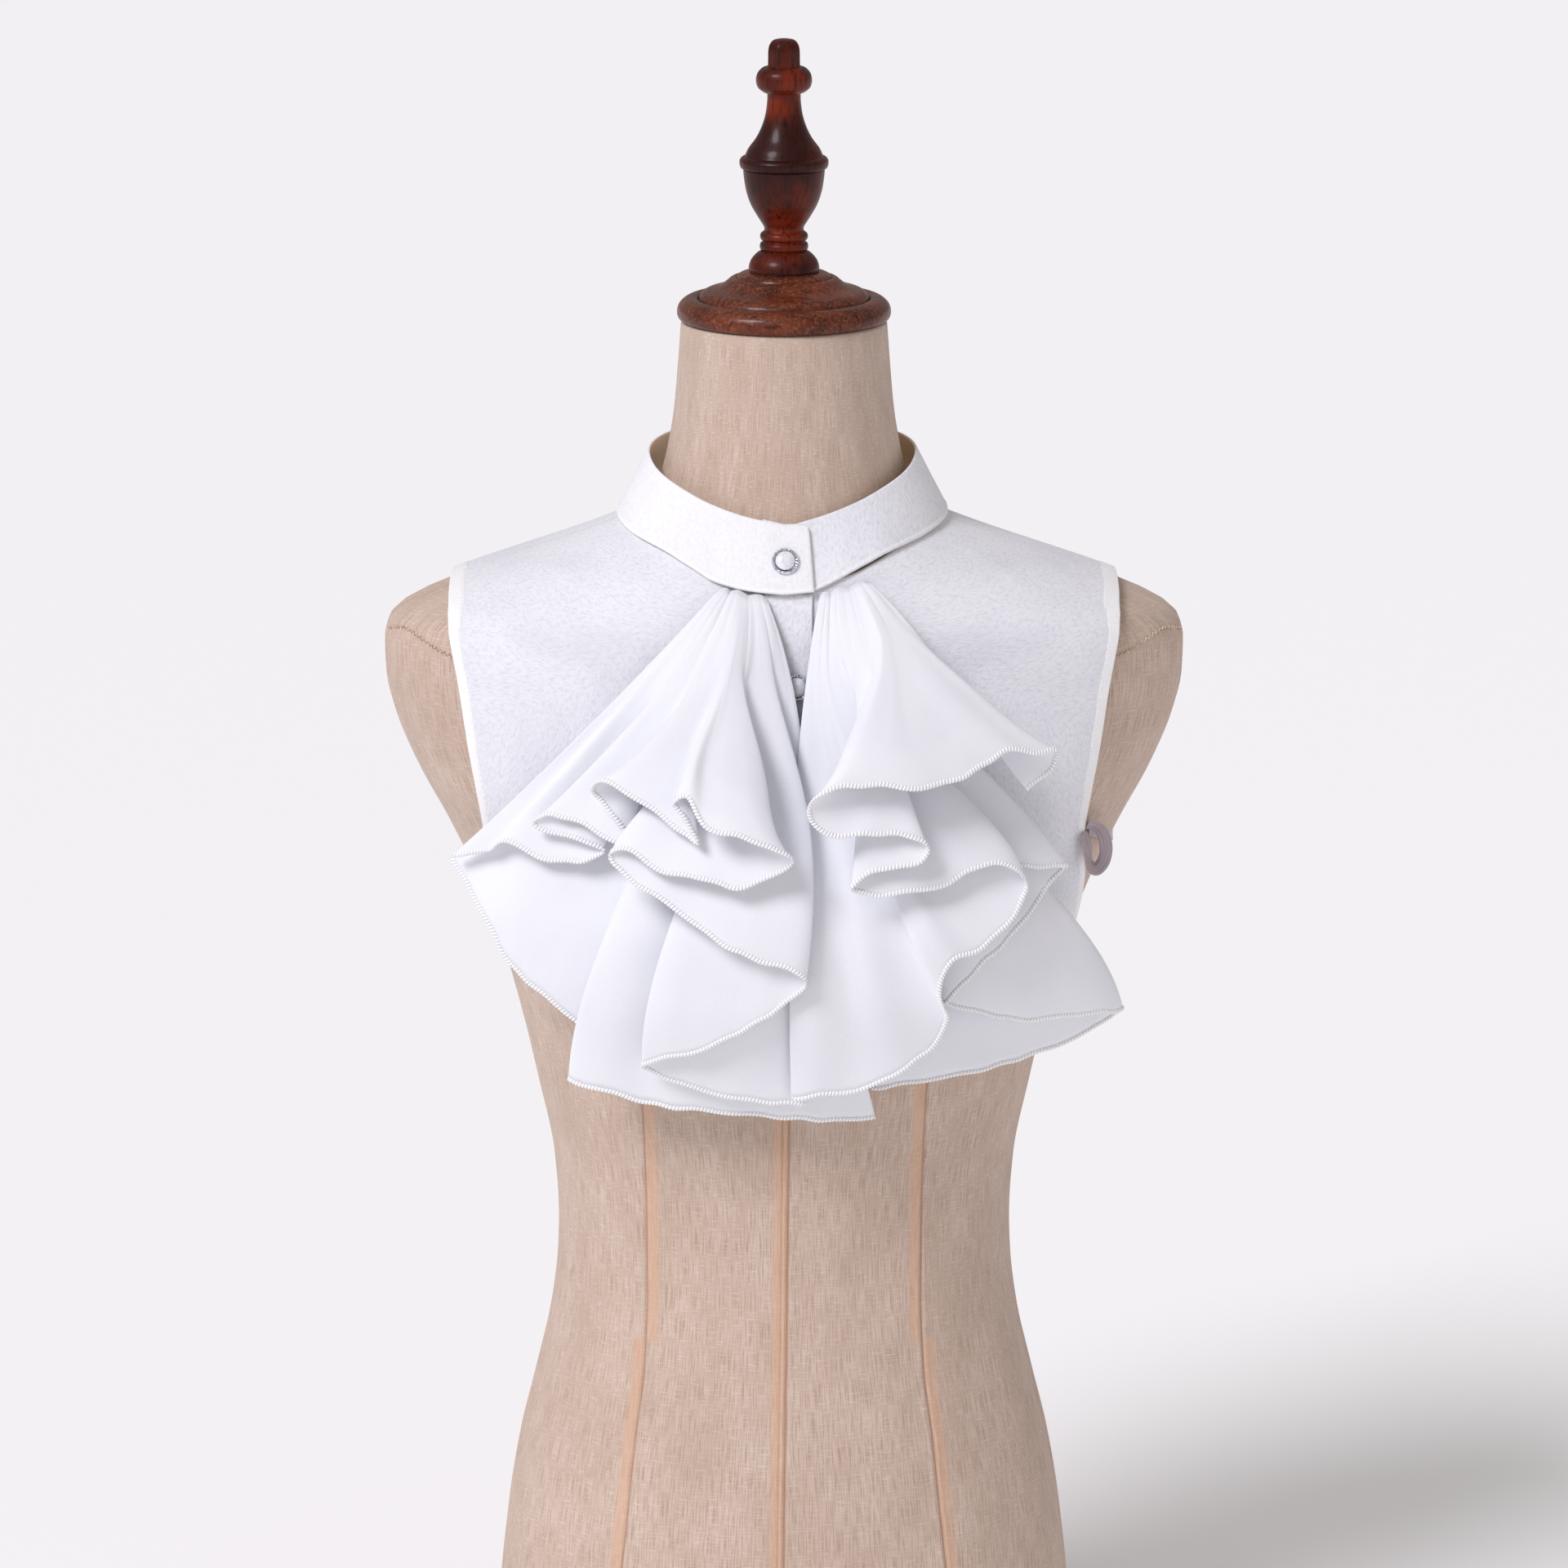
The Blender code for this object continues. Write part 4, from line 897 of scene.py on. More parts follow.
@dataclass
class DressForm:
    """Padded form under a sewn linen cover, with a turned cap and finial on its neck."""

    shape: FormShape
    # Seams of the cover: height, then how far each lies to the viewer's right of the middle, in front
    centre_seam: list[Row] = field(default_factory=lambda: [
        (0.0, 0.0), (117.0, 0.0), (185.0, 0.8), (246.0, 1.6), (344.0, 2.4), (430.0, 2.0), (723.4, 0.0)])
    princess_seam: list[Row] = field(default_factory=lambda: [
        (0.0, 88.0), (60.0, 85.0), (107.0, 81.0), (135.0, 78.0), (174.0, 74.0), (213.0, 69.2), (250.0, 67.8),
        (293.0, 68.0), (350.0, 69.5), (420.0, 76.0), (480.0, 84.0), (560.0, 92.0), (604.0, 84.0),
        (622.0, 52.0), (643.0, 40.0), (723.4, 32.0)])
    princess_most: float = 0.86         # the princess seams stay inside this share of the half width
    side_seam_angle: float = 6.0        # the side seams lie this many degrees in front of the side
    band_width: float = 9.0             # the seam allowances that show through the linen
    band_way: dict[int, float] = field(default_factory=lambda: {3: -1.0})   # pressed to the viewer's right
    bands_cross: float = 225.0          # below this height the front allowances are pressed the other way
    below_cross: dict[int, float] = field(default_factory=lambda: {1: -1.0, 3: -1.0})
    faint_seams: tuple[int, ...] = (0, 4)   # the side seams, whose allowances are pressed open
    centre: int = 2                     # number of the centre seam, counted from the right side seam
    seams_end: float = 600.0            # height at which the seams run out
    seams_fade: float = 40.0            # how far below that they start to fade
    rib_width: float = 3.2              # the pressed rib beside the centre seam
    shoulder_seam: list[Row] = field(default_factory=lambda: [
        # half width and height of the sewn seam over the end of the shoulder
        (194.5, 572.0), (190.0, 574.5), (184.0, 575.5), (176.0, 572.5), (168.0, 569.0), (158.0, 566.0)])
    foot_levels: tuple[float, ...] = (0.0, 1.2, 3.0)        # heights of the rows at the foot's edge
    side_levels: tuple[float, float, int] = (6.0, 721.8, 150)       # first, last and number of the even rows
    neck_levels: tuple[float, ...] = (722.8, 723.4)         # heights of the rows at the neck's edge
    cap_profile: list[list[Row]] = field(default_factory=lambda: [
        [(0.3, 723.7), (49.8, 723.7)],
        [(49.8, 723.7), (51.6, 725.0), (52.2, 727.8), (51.3, 731.0), (48.6, 733.6), (45.2, 734.7),
         (42.6, 734.3), (41.8, 733.2)],
        [(41.8, 733.2), (41.0, 735.4), (38.6, 737.6), (35.0, 738.8), (31.2, 740.0), (28.2, 742.2),
         (26.0, 744.0), (24.2, 744.6), (23.3, 743.9)],
        [(23.3, 743.9), (22.4, 745.5), (20.4, 746.6), (17.5, 747.2)],
        [(17.5, 747.2), (0.3, 747.2)]])
    finial_profile: list[list[Row]] = field(default_factory=lambda: [
        [(0.3, 747.5), (17.0, 747.5)],
        [(17.0, 747.5), (17.2, 749.6), (16.0, 753.0), (13.4, 756.0), (11.0, 757.6)],
        [(11.0, 757.6), (11.7, 758.6), (11.8, 759.8), (11.5, 761.0), (10.5, 761.9)],
        [(10.5, 762.3), (11.3, 763.1), (11.7, 764.4), (11.3, 765.8), (10.0, 766.9)],
        [(9.7, 767.2), (9.8, 769.2), (12.8, 774.0), (16.2, 780.0), (18.4, 786.5), (19.5, 793.0),
         (19.9, 797.4)],
        [(19.9, 797.4), (21.0, 798.0), (21.6, 799.6), (21.5, 801.6), (20.4, 803.0), (19.0, 803.6)],
        [(18.9, 803.8), (17.2, 807.4), (13.6, 812.3), (10.8, 818.0), (9.0, 824.0), (8.2, 830.0),
         (8.1, 833.4)],
        [(8.1, 833.8), (10.4, 834.8), (12.8, 837.0), (13.6, 840.4), (12.8, 843.8), (10.6, 846.2),
         (8.6, 847.0)],
        [(8.3, 847.1), (8.2, 850.0), (8.1, 854.6), (7.4, 857.4), (5.6, 859.4), (3.0, 860.2), (0.3, 860.4)]])
    peg_facets: int = 8
    peg_from: float = 847.0
    near_seam: tuple[float, ...] = (0.0, 0.7, 1.6, 2.5, 3.2, 4.2, 5.6, 6.6, 7.4, 9.0)
    between: int = 12                   # columns in the plain middle of a gore, past those near its seams
    plain: float = 99.0                 # a distance that no seam's relief reaches
    foot_ease: float = 2.5              # how far the foot's edge is rounded in
    neck_ease: float = 1.2
    flat_radius: float = 150.0          # the weave has its real width on a form of this radius

    def seam_angles(self, z: Array) -> Array:
        """Angle of every seam at each height.

        Args:
            z: heights.

        Returns:
            An array of heights x 8 angles, rising from the right side seam round the front to the back.
        """
        width = self.shape.width(z)
        across = np.minimum(hermite(self.princess_seam, z)[..., 0], self.princess_most * width)
        princess = np.degrees(np.arccos(across / width))
        centre = np.degrees(np.arccos(hermite(self.centre_seam, z)[..., 0] / width))
        side, level = self.side_seam_angle, 0 * z
        return np.stack([level + side, princess, centre, 180 - princess, level + 180 - side, 180 + princess,
                         level + 270.0, 360 - princess], axis=-1)

    def columns(self, z: Array) -> tuple[Array, list[tuple[int, float]]]:
        """Where the cover's columns of points stand: close together beside a seam, wider apart between.

        Args:
            z: heights.

        Returns:
            The angle of every point, as heights x columns, and for each column the number of its nearest
            seam and how far past that seam it stands.
        """
        seams = self.seam_angles(z)
        count = seams.shape[1]
        seams = np.concatenate([seams, seams[:, :1] + 360.0], axis=1)
        per_mm = np.degrees(1.0) / np.maximum(self.shape.width(z), 60.0)
        inner = np.linspace(0.0, 1.0, self.between + 2)[1:-1]
        columns, beside = [], []
        for k in range(count):
            start, stop = seams[:, k], seams[:, k + 1]
            most = (stop - start) / per_mm * 0.3
            steps = [np.minimum(d, most) * per_mm for d in self.near_seam]
            low, high = start + steps[-1], stop - steps[-1]
            columns += [start + step for step in steps]
            columns += [low + (high - low) * share for share in inner]
            columns += [stop - step for step in steps[:0:-1]]
            beside += [(k, d) for d in self.near_seam]
            beside += [(k, self.plain)] * self.between
            beside += [((k + 1) % count, -d) for d in self.near_seam[:0:-1]]
        return np.stack(columns, axis=1), beside

    def seam_relief(self, z: Array, beside: list[tuple[int, float]]) -> tuple[Array, Array, Array]:
        """Shape and colour of the cover beside its seams.

        Args:
            z: heights.
            beside: each column's seam and its distance past that seam.

        Returns:
            How far each point stands off the form, how much the seam allowance shows there, and how much
            the line of the seam does.
        """
        showing = ease((self.seams_end - z) / self.seams_fade)
        off, band, line = [], [], []
        for k, d in beside:
            groove = -0.55 * math.exp(-(d / 0.8) ** 2) + 0.25 * math.exp(-((abs(d) - 2.2) / 1.2) ** 2)
            drawn = math.exp(-(d / 0.55) ** 2)
            if k == self.centre:
                past_rib = d - self.rib_width
                groove += 0.5 * math.exp(-((d - 1.7) / 1.0) ** 2) - 0.4 * math.exp(-(past_rib / 0.6) ** 2)
                drawn += 0.6 * math.exp(-(past_rib / 0.5) ** 2)
            way = np.where(z > self.bands_cross, 1.0, self.below_cross.get(k, 1.0))
            way = way * self.band_way.get(k, 1.0)
            inside = 1.0 - ease((d * way - 0.6 * self.band_width) / (0.4 * self.band_width))
            plain = 0.25 if k in self.faint_seams else 1.0
            off.append(groove * showing)
            band.append(inside * ease((d * way + 0.8) / 1.2) * plain * showing)
            line.append(drawn * plain * showing)
        return np.stack(off, axis=1), np.stack(band, axis=1), np.stack(line, axis=1)

    def cover(self, finishes: Finishes) -> bpy.types.Object:
        """Linen cover: gores between the seams, each seam a pressed groove with its allowance beside it.

        Args:
            finishes: the part's materials.

        Returns:
            The piece.
        """
        z = np.concatenate([self.foot_levels, np.linspace(*self.side_levels), self.neck_levels])
        angle, beside = self.columns(z)
        off, band, line = self.seam_relief(z, beside)
        heights = z[:, None] * np.ones_like(angle)
        points = self.shape.point(angle, heights, off)
        for row, rounding in ((0, self.foot_ease), (1, self.foot_ease * 0.35), (-1, self.neck_ease),
                              (-2, self.neck_ease * 0.3)):
            reach = np.linalg.norm(points[row, :, :2], axis=-1, keepdims=True)
            points[row, :, :2] *= (reach - rounding) / reach
        flat = np.stack([np.radians(angle) * self.flat_radius, heights], axis=-1)
        middles = np.array([[0.0, 0.0, z[0]], [0.0, 0.0, z[-1]]])
        batch = Batch()
        batch.add(np.vstack([points.reshape(-1, 3), middles]), tube_faces(*angle.shape, turned_over=True))
        made = batch.piece("form_cover", finishes.linen)
        write_flat(made, np.vstack([flat.reshape(-1, 2), np.zeros((2, 2))]))
        write_marks(made, {"allowance": np.append(band, [0.0, 0.0]), "seam": np.append(line, [0.0, 0.0])})
        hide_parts("form_torso")
        return settle(made)

    def shoulder_stitches(self, side: Side, back: bool, finishes: Finishes) -> bpy.types.Object:
        """Hand-sewn zigzag over one end of the shoulder.

        Args:
            side: left or right.
            back: whether it is the half behind.
            finishes: the part's materials.

        Returns:
            The piece.
        """
        line = along(self.shoulder_seam, np.linspace(0.0, 1.0, 60))
        half, z = line[:, 0], line[:, 1]
        angle = np.degrees(np.arccos(np.clip(half / self.shape.width(z), -1.0, 0.9999)))
        angle = 180.0 - angle if side is Side.LEFT else angle
        angle = -angle if back else angle
        path = self.shape.point(angle, z, 0.05)
        out = unit(self.shape.point(angle, z, 1.0) - self.shape.point(angle, z, 0.0))
        batch = stitch_bodies(path, out, pitch=1.5, length=2.6, radius=0.3, slant=52.0)
        end = "back" if back else "front"
        return settle(batch.piece(f"shoulder_stitches_{side.word}_{end}", finishes.seam_thread))

    def woodwork(self, finishes: Finishes) -> list[bpy.types.Object]:
        """Neck cap and finial."""
        cap = Batch()
        cap.add(*turned(self.cap_profile, 120))
        finial = Batch()
        finial.add(*turned(self.finial_profile, 96, self.peg_facets, self.peg_from))
        pieces = [cap.piece("neck_cap_turned", finishes.cap_wood),
                  finial.piece("finial_turned", finishes.finial_wood)]
        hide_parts("neck_cap")
        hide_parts("finial")
        return [settle(piece) for piece in pieces]

    def build(self, finishes: Finishes) -> list[bpy.types.Object]:
        """Cover, stitches, cap and finial."""
        pieces = [self.cover(finishes), *self.woodwork(finishes)]
        pieces += [self.shoulder_stitches(side, back, finishes) for side in Side for back in (False, True)]
        return pieces


def settle(piece: bpy.types.Object) -> bpy.types.Object:
    """Give a piece its body.

    Args:
        piece: the object, in place.

    Returns:
        The same object.
    """
    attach(piece, BODY)
    return piece


# The flat pieces

@dataclass
class FlatLay:
    """How the flat pieces lie over the form."""

    shape: FormShape
    panel_out: float = 2.7
    panel_wall: float = 0.55
    placket_out: float = 4.3
    seam_angle: float = 0.12            # half the gap between front and back at the shoulder, in degrees
    shoulder_ease: float = 1.7          # how much further off the cloth stands on the shoulder
    shoulder_middle: float = 582.0      # height of the most of it, and how far up and down it reaches
    shoulder_reach: float = 17.0
    shoulder_start: float = 25.0        # distances from the middle where it starts and where it is full
    shoulder_full: float = 85.0

    def ease(self, angle: Array, z: Array) -> Array:
        """How much further off the cloth stands where the shoulder rolls over."""
        beside = (np.abs(self.shape.point(angle, z)[..., 0]) - self.shoulder_start)
        beside = np.clip(beside / (self.shoulder_full - self.shoulder_start), 0.0, 1.0)
        return self.shoulder_ease * beside * np.exp(-((z - self.shoulder_middle) / self.shoulder_reach) ** 2)


# Armhole edges from the shoulder down: distance from the middle, height
ARMHOLE_TOP: list[Row] = [(162.5, 594.4), (162.2, 591.0), (161.3, 584.0), (159.5, 572.0), (156.0, 551.0),
                          (152.0, 525.0), (148.0, 503.0), (145.0, 485.0)]
FRONT_ARMHOLE: list[Row] = ARMHOLE_TOP + [(144.5, 470.0), (145.5, 456.0), (144.0, 440.0), (141.0, 424.0)]
BACK_ARMHOLE: list[Row] = ARMHOLE_TOP + [(145.0, 470.0), (146.5, 456.0), (146.5, 444.0), (144.5, 434.0)]

# Neck lines from the shoulder, then down the middle seam: angle round the form, height
FRONT_NECK: list[Row] = [
    (0.12, 626.5), (30.0, 624.5), (50.0, 621.0), (64.0, 616.0), (75.0, 611.0), (89.7, 607.5),
    (89.7, 585.0), (89.7, 555.0), (89.7, 525.0), (89.7, 490.0), (89.7, 457.0), (89.7, 424.0)]
BACK_NECK: list[Row] = [
    (0.12, 626.5), (22.0, 627.5), (40.0, 629.0), (58.0, 630.5), (74.0, 631.5), (89.8, 632.0),
    (89.8, 605.0), (89.8, 570.0), (89.8, 535.0), (89.8, 500.0), (89.8, 467.0), (89.8, 434.0)]

# Soft creases of the halves: across from the neck line and down from the shoulder seam, on the flat cloth
FRONT_CREASES = [
    Crease((16.0, 34.0), (74.0, 58.0), 5.5, 0.4), Crease((34.0, 66.0), (98.0, 92.0), 8.0, -0.4),
    Crease((70.0, 104.0), (116.0, 160.0), 9.0, 0.4), Crease((62.0, 14.0), (104.0, 44.0), 6.0, -0.3)]
BACK_CREASES = [
    Crease((22.0, 40.0), (96.0, 74.0), 9.0, 0.4), Crease((18.0, 88.0), (84.0, 150.0), 11.0, -0.4),
    Crease((92.0, 96.0), (118.0, 158.0), 8.0, 0.35)]


@dataclass
class Panel:
    """Half a front or half a back of the yoke, cut in crepe, with a turned hem at the armhole."""

    side: Side
    back: bool
    lay: FlatLay
    creases: list[Crease]
    ties: list[str] = field(default_factory=list)
    hem_width: float = 8.0
    hem_rise: float = 0.22
    near_edge: tuple[float, ...] = (9.6, 9.0, 8.5, 8.0, 7.6, 7.2, 6.8, 6.2,     # columns beside the armhole
                                    5.0, 3.6, 2.2, 1.2, 0.6, 0.25, 0.0)
    rows: int = 120
    inner_columns: int = 56

    @property
    def node(self) -> str:
        """Name of the CAD node it stands for."""
        return f"{'back' if self.back else 'front'}_{self.side.word}"

    def frame_line(self, share: Array) -> tuple[Array, Array, Array, Array]:
        """Both ends of each row.

        Args:
            share: how far down the piece, from 0 to 1.

        Returns:
            Angle and height at the neck line, then at the armhole.
        """
        armhole, neck = (BACK_ARMHOLE, BACK_NECK) if self.back else (FRONT_ARMHOLE, FRONT_NECK)
        edge = along(armhole, share)
        width = self.lay.shape.width(edge[:, 1])
        most = math.cos(math.radians(self.lay.seam_angle))
        edge_angle = np.degrees(np.arccos(np.minimum(edge[:, 0] / width, most)))
        start = along(neck, share)
        return np.minimum(start[:, 0], neck[-1][0]), start[:, 1], edge_angle, edge[:, 1]

    def grid(self, share: Array, across: Array, off: Array | float) -> Array:
        """Points over the form.

        Args:
            share: how far down each row lies, from 0 to 1.
            across: for each point of each row, its share from the neck line to the armhole.
            off: how far the points stand off the form.

        Returns:
            The grid of points.
        """
        neck_a, neck_z, edge_a, edge_z = (v[:, None] for v in self.frame_line(share))
        angle = neck_a + (edge_a - neck_a) * across
        z = neck_z + (edge_z - neck_z) * across
        shown = 180.0 - angle if self.side is Side.LEFT else angle
        return self.lay.shape.point(-shown if self.back else shown, z, off + self.lay.ease(angle, z))

    def build(self, finishes: Finishes) -> list[bpy.types.Object]:
        """Panel and the stitches of its armhole hem.

        Args:
            finishes: the part's materials.

        Returns:
            Both pieces.
        """
        share = np.linspace(0.0, 1.0, self.rows + 1)
        chord = np.linalg.norm(np.diff(self.grid(share, np.array([[0.0, 1.0]]), 0.0), axis=1)[:, 0], axis=-1)
        from_edge = np.array(self.near_edge)
        start = 1.0 - from_edge[0] / chord
        body = np.linspace(0.0, 1.0, self.inner_columns)[:-1] * start[:, None]
        across = np.concatenate([body, 1.0 - from_edge / chord[:, None]], axis=1)
        plain = self.grid(share, across, 0.0)
        flat = np.stack([run(plain, axis=1), run(plain, axis=0)], axis=-1)
        distance = (1.0 - across) * chord[:, None]
        hem = ease((self.hem_width + 0.3 - distance) / 0.6)
        stitched = np.exp(-((distance - self.hem_width + 1.0) / 0.45) ** 2)
        half = self.lay.panel_wall / 2 + self.hem_rise * hem * (1 - 0.7 * stitched) / 2
        half *= rounded_edge(distance, 0.7)
        off = self.lay.panel_out - self.lay.panel_wall / 2 + self.hem_rise * hem / 2
        off = off + wrinkled(flat, self.creases)
        middle = self.grid(share, across, off)
        if (self.side is Side.RIGHT) != self.back:
            middle, half, flat, hem = middle[:, ::-1], half[:, ::-1], flat[:, ::-1], hem[:, ::-1]
        made = shell(f"{self.node}_cloth", middle, half, flat, [finishes.crepe], {"hem": hem})
        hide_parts(self.node)
        line = 1.0 - (self.hem_width - 1.0) / chord[:, None]
        path = self.grid(share, line, self.lay.panel_out + self.hem_rise - 0.15)[:, 0]
        out = unit(path - self.grid(share, line, 0.0)[:, 0])
        stitches = stitch_bodies(path[2:-2], out[2:-2], pitch=2.9, length=2.3, radius=0.16)
        sewn = settle(stitches.piece(f"{self.node}_hem_stitches", finishes.hem_thread))
        return [settle(made), sewn]


@dataclass
class Placket:
    """Button strip down the middle of the front."""

    lay: FlatLay
    x: tuple[float, float] = (-9.5, 13.5)
    z: tuple[float, float] = (603.0, 424.0)
    wall: float = 0.7
    edge_stitch: float = 1.8
    creases: list[Crease] = field(default_factory=lambda: [
        Crease((2.0, 9.0), (20.0, 12.5), 1.6, -0.45), Crease((6.0, 22.0), (21.0, 30.0), 2.4, -0.35),
        Crease((3.0, 52.0), (10.0, 70.0), 2.2, 0.3), Crease((12.0, 96.0), (19.0, 122.0), 2.6, -0.35)])

    def build(self, finishes: Finishes) -> list[bpy.types.Object]:
        """Strip and its two rows of edge stitching.

        Args:
            finishes: the part's materials.

        Returns:
            The pieces.
        """
        z = np.linspace(*self.z, 130)[:, None]
        width = self.x[1] - self.x[0]
        near = np.array([0.0, 0.3, 0.8, 1.4, 1.8, 2.2, 3.0])
        across = np.concatenate([near, np.linspace(3.0, width - 3.0, 12)[1:-1], width - near[::-1]])
        x = self.x[0] + across[None]
        angle = np.degrees(np.arccos(x / self.lay.shape.width(z)))
        distance = np.minimum(across, width - across)[None] * np.ones_like(z)
        flat = np.stack([across[None] * np.ones_like(z), (self.z[0] - z) * np.ones_like(x)], axis=-1)
        dimple = np.exp(-((distance - self.edge_stitch) / 0.4) ** 2)
        half = self.wall / 2 * rounded_edge(distance, 0.6) * (1 - 0.25 * dimple)
        off = self.lay.placket_out - self.wall / 2 + wrinkled(flat, self.creases)
        middle = self.lay.shape.point(angle, z * np.ones_like(x), off)
        made = shell("placket_cloth", middle[::-1], half[::-1], flat[::-1], [finishes.crepe],
                     {"hem": 0.3 * (distance < 2.6)[::-1]})
        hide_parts("placket")
        pieces = []
        for word, at in (("left", self.x[0] + self.edge_stitch), ("right", self.x[1] - self.edge_stitch)):
            turn = np.degrees(np.arccos(at / self.lay.shape.width(z[:, 0])))
            path = self.lay.shape.point(turn, z[:, 0], self.lay.placket_out - 0.1)
            out = unit(path - self.lay.shape.point(turn, z[:, 0]))
            sewn = stitch_bodies(path, out, pitch=2.9, length=2.3, radius=0.15)
            pieces.append(settle(sewn.piece(f"placket_stitches_{word}", finishes.hem_thread)))
        return [settle(made), *pieces]


@dataclass
class StandBand:
    """Stand collar: one folded strip round the neck, its outer end lapped over the under end."""

    lay: FlatLay
    heights: list[Row] = field(default_factory=lambda: [
        # angle round the neck from the front, lower and upper height
        (0.0, 605.0, 636.5), (15.0, 607.0, 639.0), (32.0, 613.0, 643.6), (50.0, 620.8, 649.4),
        (67.0, 625.6, 653.8), (90.0, 628.6, 659.0), (120.0, 632.0, 661.5), (180.0, 635.5, 663.0)])
    low: tuple[float, float, float] = (81.6, 88.0, 83.0)    # half width, depth in front, depth behind
    top: tuple[float, float, float] = (66.0, 70.0, 67.0)
    wall: float = 1.5
    lap: float = 2.7
    over_end: float = 10.3
    under_end: float = -9.5
    corner: float = 3.0
    dip: float = 1.7                    # how far the upper edges sag where the two ends cross
    dip_at: float = 4.8
    dip_width: float = 9.0
    clear: float = 0.8                  # least air between the band and the yoke
    piping: float = 1.7
    flat_round: tuple[float, float] = (78.0, 80.0)      # the ring that its cloth is measured along
    creases: list[Crease] = field(default_factory=lambda: [
        Crease((5.2, 21.0), (1.4, 30.5), 0.9, -0.3), Crease((12.0, 16.5), (5.4, 20.5), 1.0, -0.22),
        Crease((70.0, 6.0), (110.0, 16.0), 4.0, -0.35), Crease((300.0, 8.0), (352.0, 18.0), 4.5, -0.4)])
    columns: int = 300
    rises: int = 26

    def build(self, finishes: Finishes) -> list[bpy.types.Object]:
        """Band, with a piped lower edge, and its inner face in a copy of the crepe painted with warm ochre
        shade.

        Args:
            finishes: the part's materials.

        Returns:
            The one piece, in a list.
        """
        start, stop = self.over_end, self.under_end - 360.0
        share = np.concatenate([[0.0, 0.0012, 0.003, 0.006, 0.010, 0.015, 0.021, 0.028],
                                np.linspace(0.035, 1.0, self.columns)])
        turn = start + (stop - start) * share
        away = np.abs((turn + 180.0) % 360.0 - 180.0)
        low, full = hermite(self.heights, away).T
        in_by = self.lap * np.clip((share - 0.5) / 0.4, 0.0, 1.0)
        rad = np.radians(turn)
        forward = np.cos(rad) > 0
        edge = np.where(forward, self.low[1], self.low[2])
        need = self.lay.panel_out + self.wall / 2 + self.clear
        for _ in range(200):
            at = np.stack([np.sin(rad) * (self.low[0] - in_by), -np.cos(rad) * (edge - in_by), low], axis=-1)
            short = self.lay.shape.clearance(at) < need
            if not short.any():
                break
            low = low + 0.1 * short
        reach = np.maximum(0.0, self.corner - np.abs(start - turn) * 1.5)
        signed = (turn + 180.0) % 360.0 - 180.0
        dip = self.dip * (np.exp(-np.abs(signed - self.dip_at) / self.dip_width)
                          + np.clip((signed - self.dip_at) / (start - self.dip_at), 0.0, 1.0) * (share < 0.5))
        top = full - (self.corner - np.sqrt(self.corner ** 2 - reach ** 2)) - dip
        up = np.concatenate([[0.0, 0.012, 0.03, 0.05, 0.07, 0.09], np.linspace(0.12, 0.96, self.rises),
                             [0.98, 0.993, 1.0]])[:, None]
        z = low + (top - low) * up
        lean = (z - low) / (full - low)
        width = self.low[0] + (self.top[0] - self.low[0]) * lean
        depth = np.where(forward, self.low[1] + (self.top[1] - self.low[1]) * lean,
                         self.low[2] + (self.top[2] - self.low[2]) * lean)
        wide, deep = self.flat_round
        round_mm = run(np.stack([np.sin(rad) * wide, -np.cos(rad) * deep, 0 * rad], axis=-1))
        round_mm = round_mm[None] * np.ones_like(z)
        flat = np.stack([round_mm, z - low], axis=-1)
        above, below = z - low, top - z
        from_end = np.minimum(round_mm, round_mm[:, -1:] - round_mm)
        pipe = np.exp(-((above - self.piping * 0.5) / (self.piping * 0.5)) ** 2)
        groove = np.exp(-((above - self.piping * 1.35) / 0.5) ** 2)
        half = self.wall / 2 * (1 + 0.25 * pipe - 0.25 * groove)
        for distance in (above, below, from_end):
            half = half * rounded_edge(distance, 0.8, least=0.03)
        ripple = 0.18 * np.sin(round_mm / 17.0 + 0.6 * np.sin(above / 9.0)) * np.sin(np.pi * up) ** 2
        shift = in_by - ripple - wrinkled(flat, self.creases)
        middle = np.stack([np.sin(rad) * (width - shift), -np.cos(rad) * (depth - shift), z], axis=-1)
        # painted light: the whole band a little paler, its half from the over end round the viewer's left to
        # the back paler for the lit side, its piping paler still; the hem mark carries it
        pale = np.clip(0.1 + 0.35 * (share < 0.5) + 0.5 * pipe, 0.0, 1.0)
        made = shell("collar_band_cloth", middle[:, ::-1], half[:, ::-1], flat[:, ::-1],
                     [finishes.crepe, finishes.lining], {"hem": pale[:, ::-1]})
        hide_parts("collar_band")
        return [settle(made)]


# The flounces

@dataclass
class FlounceCut:
    """How all four flounces stand off the chest and fan out from their gathers."""

    shape: FormShape
    chest_ease: float = 4.2             # how far off the form the resting surface lies
    chest_span: float = 200.0           # half width over which that surface turns back
    fold_rise: float = 2.2              # how soon below the gather the folds lift
    fold_start: float = 0.15            # share of the drop above which they don't spread yet
    fold_spread: float = 1.3
    fold_own: float = 0.12              # share of its own lift that a fold already has at the gather
    fold_tent: tuple[float, float] = (0.2, 0.6)     # shares of the drop between which it takes it all on
    bow_tent: tuple[float, float] = (0.05, 0.65)    # the same for its bow
    bow_scale: float = 6.75             # makes a bow as wide as its table says
    wall: float = 0.5
    levels: int = 64
    per_row: int = 9

    def chest(self, x: Array, z: Array) -> Array:
        """Resting surface in front of the form."""
        round_off = np.sqrt(np.maximum(0.04, 1 - (x / self.chest_span) ** 2))
        return -(self.shape.front(z) + self.chest_ease) * round_off


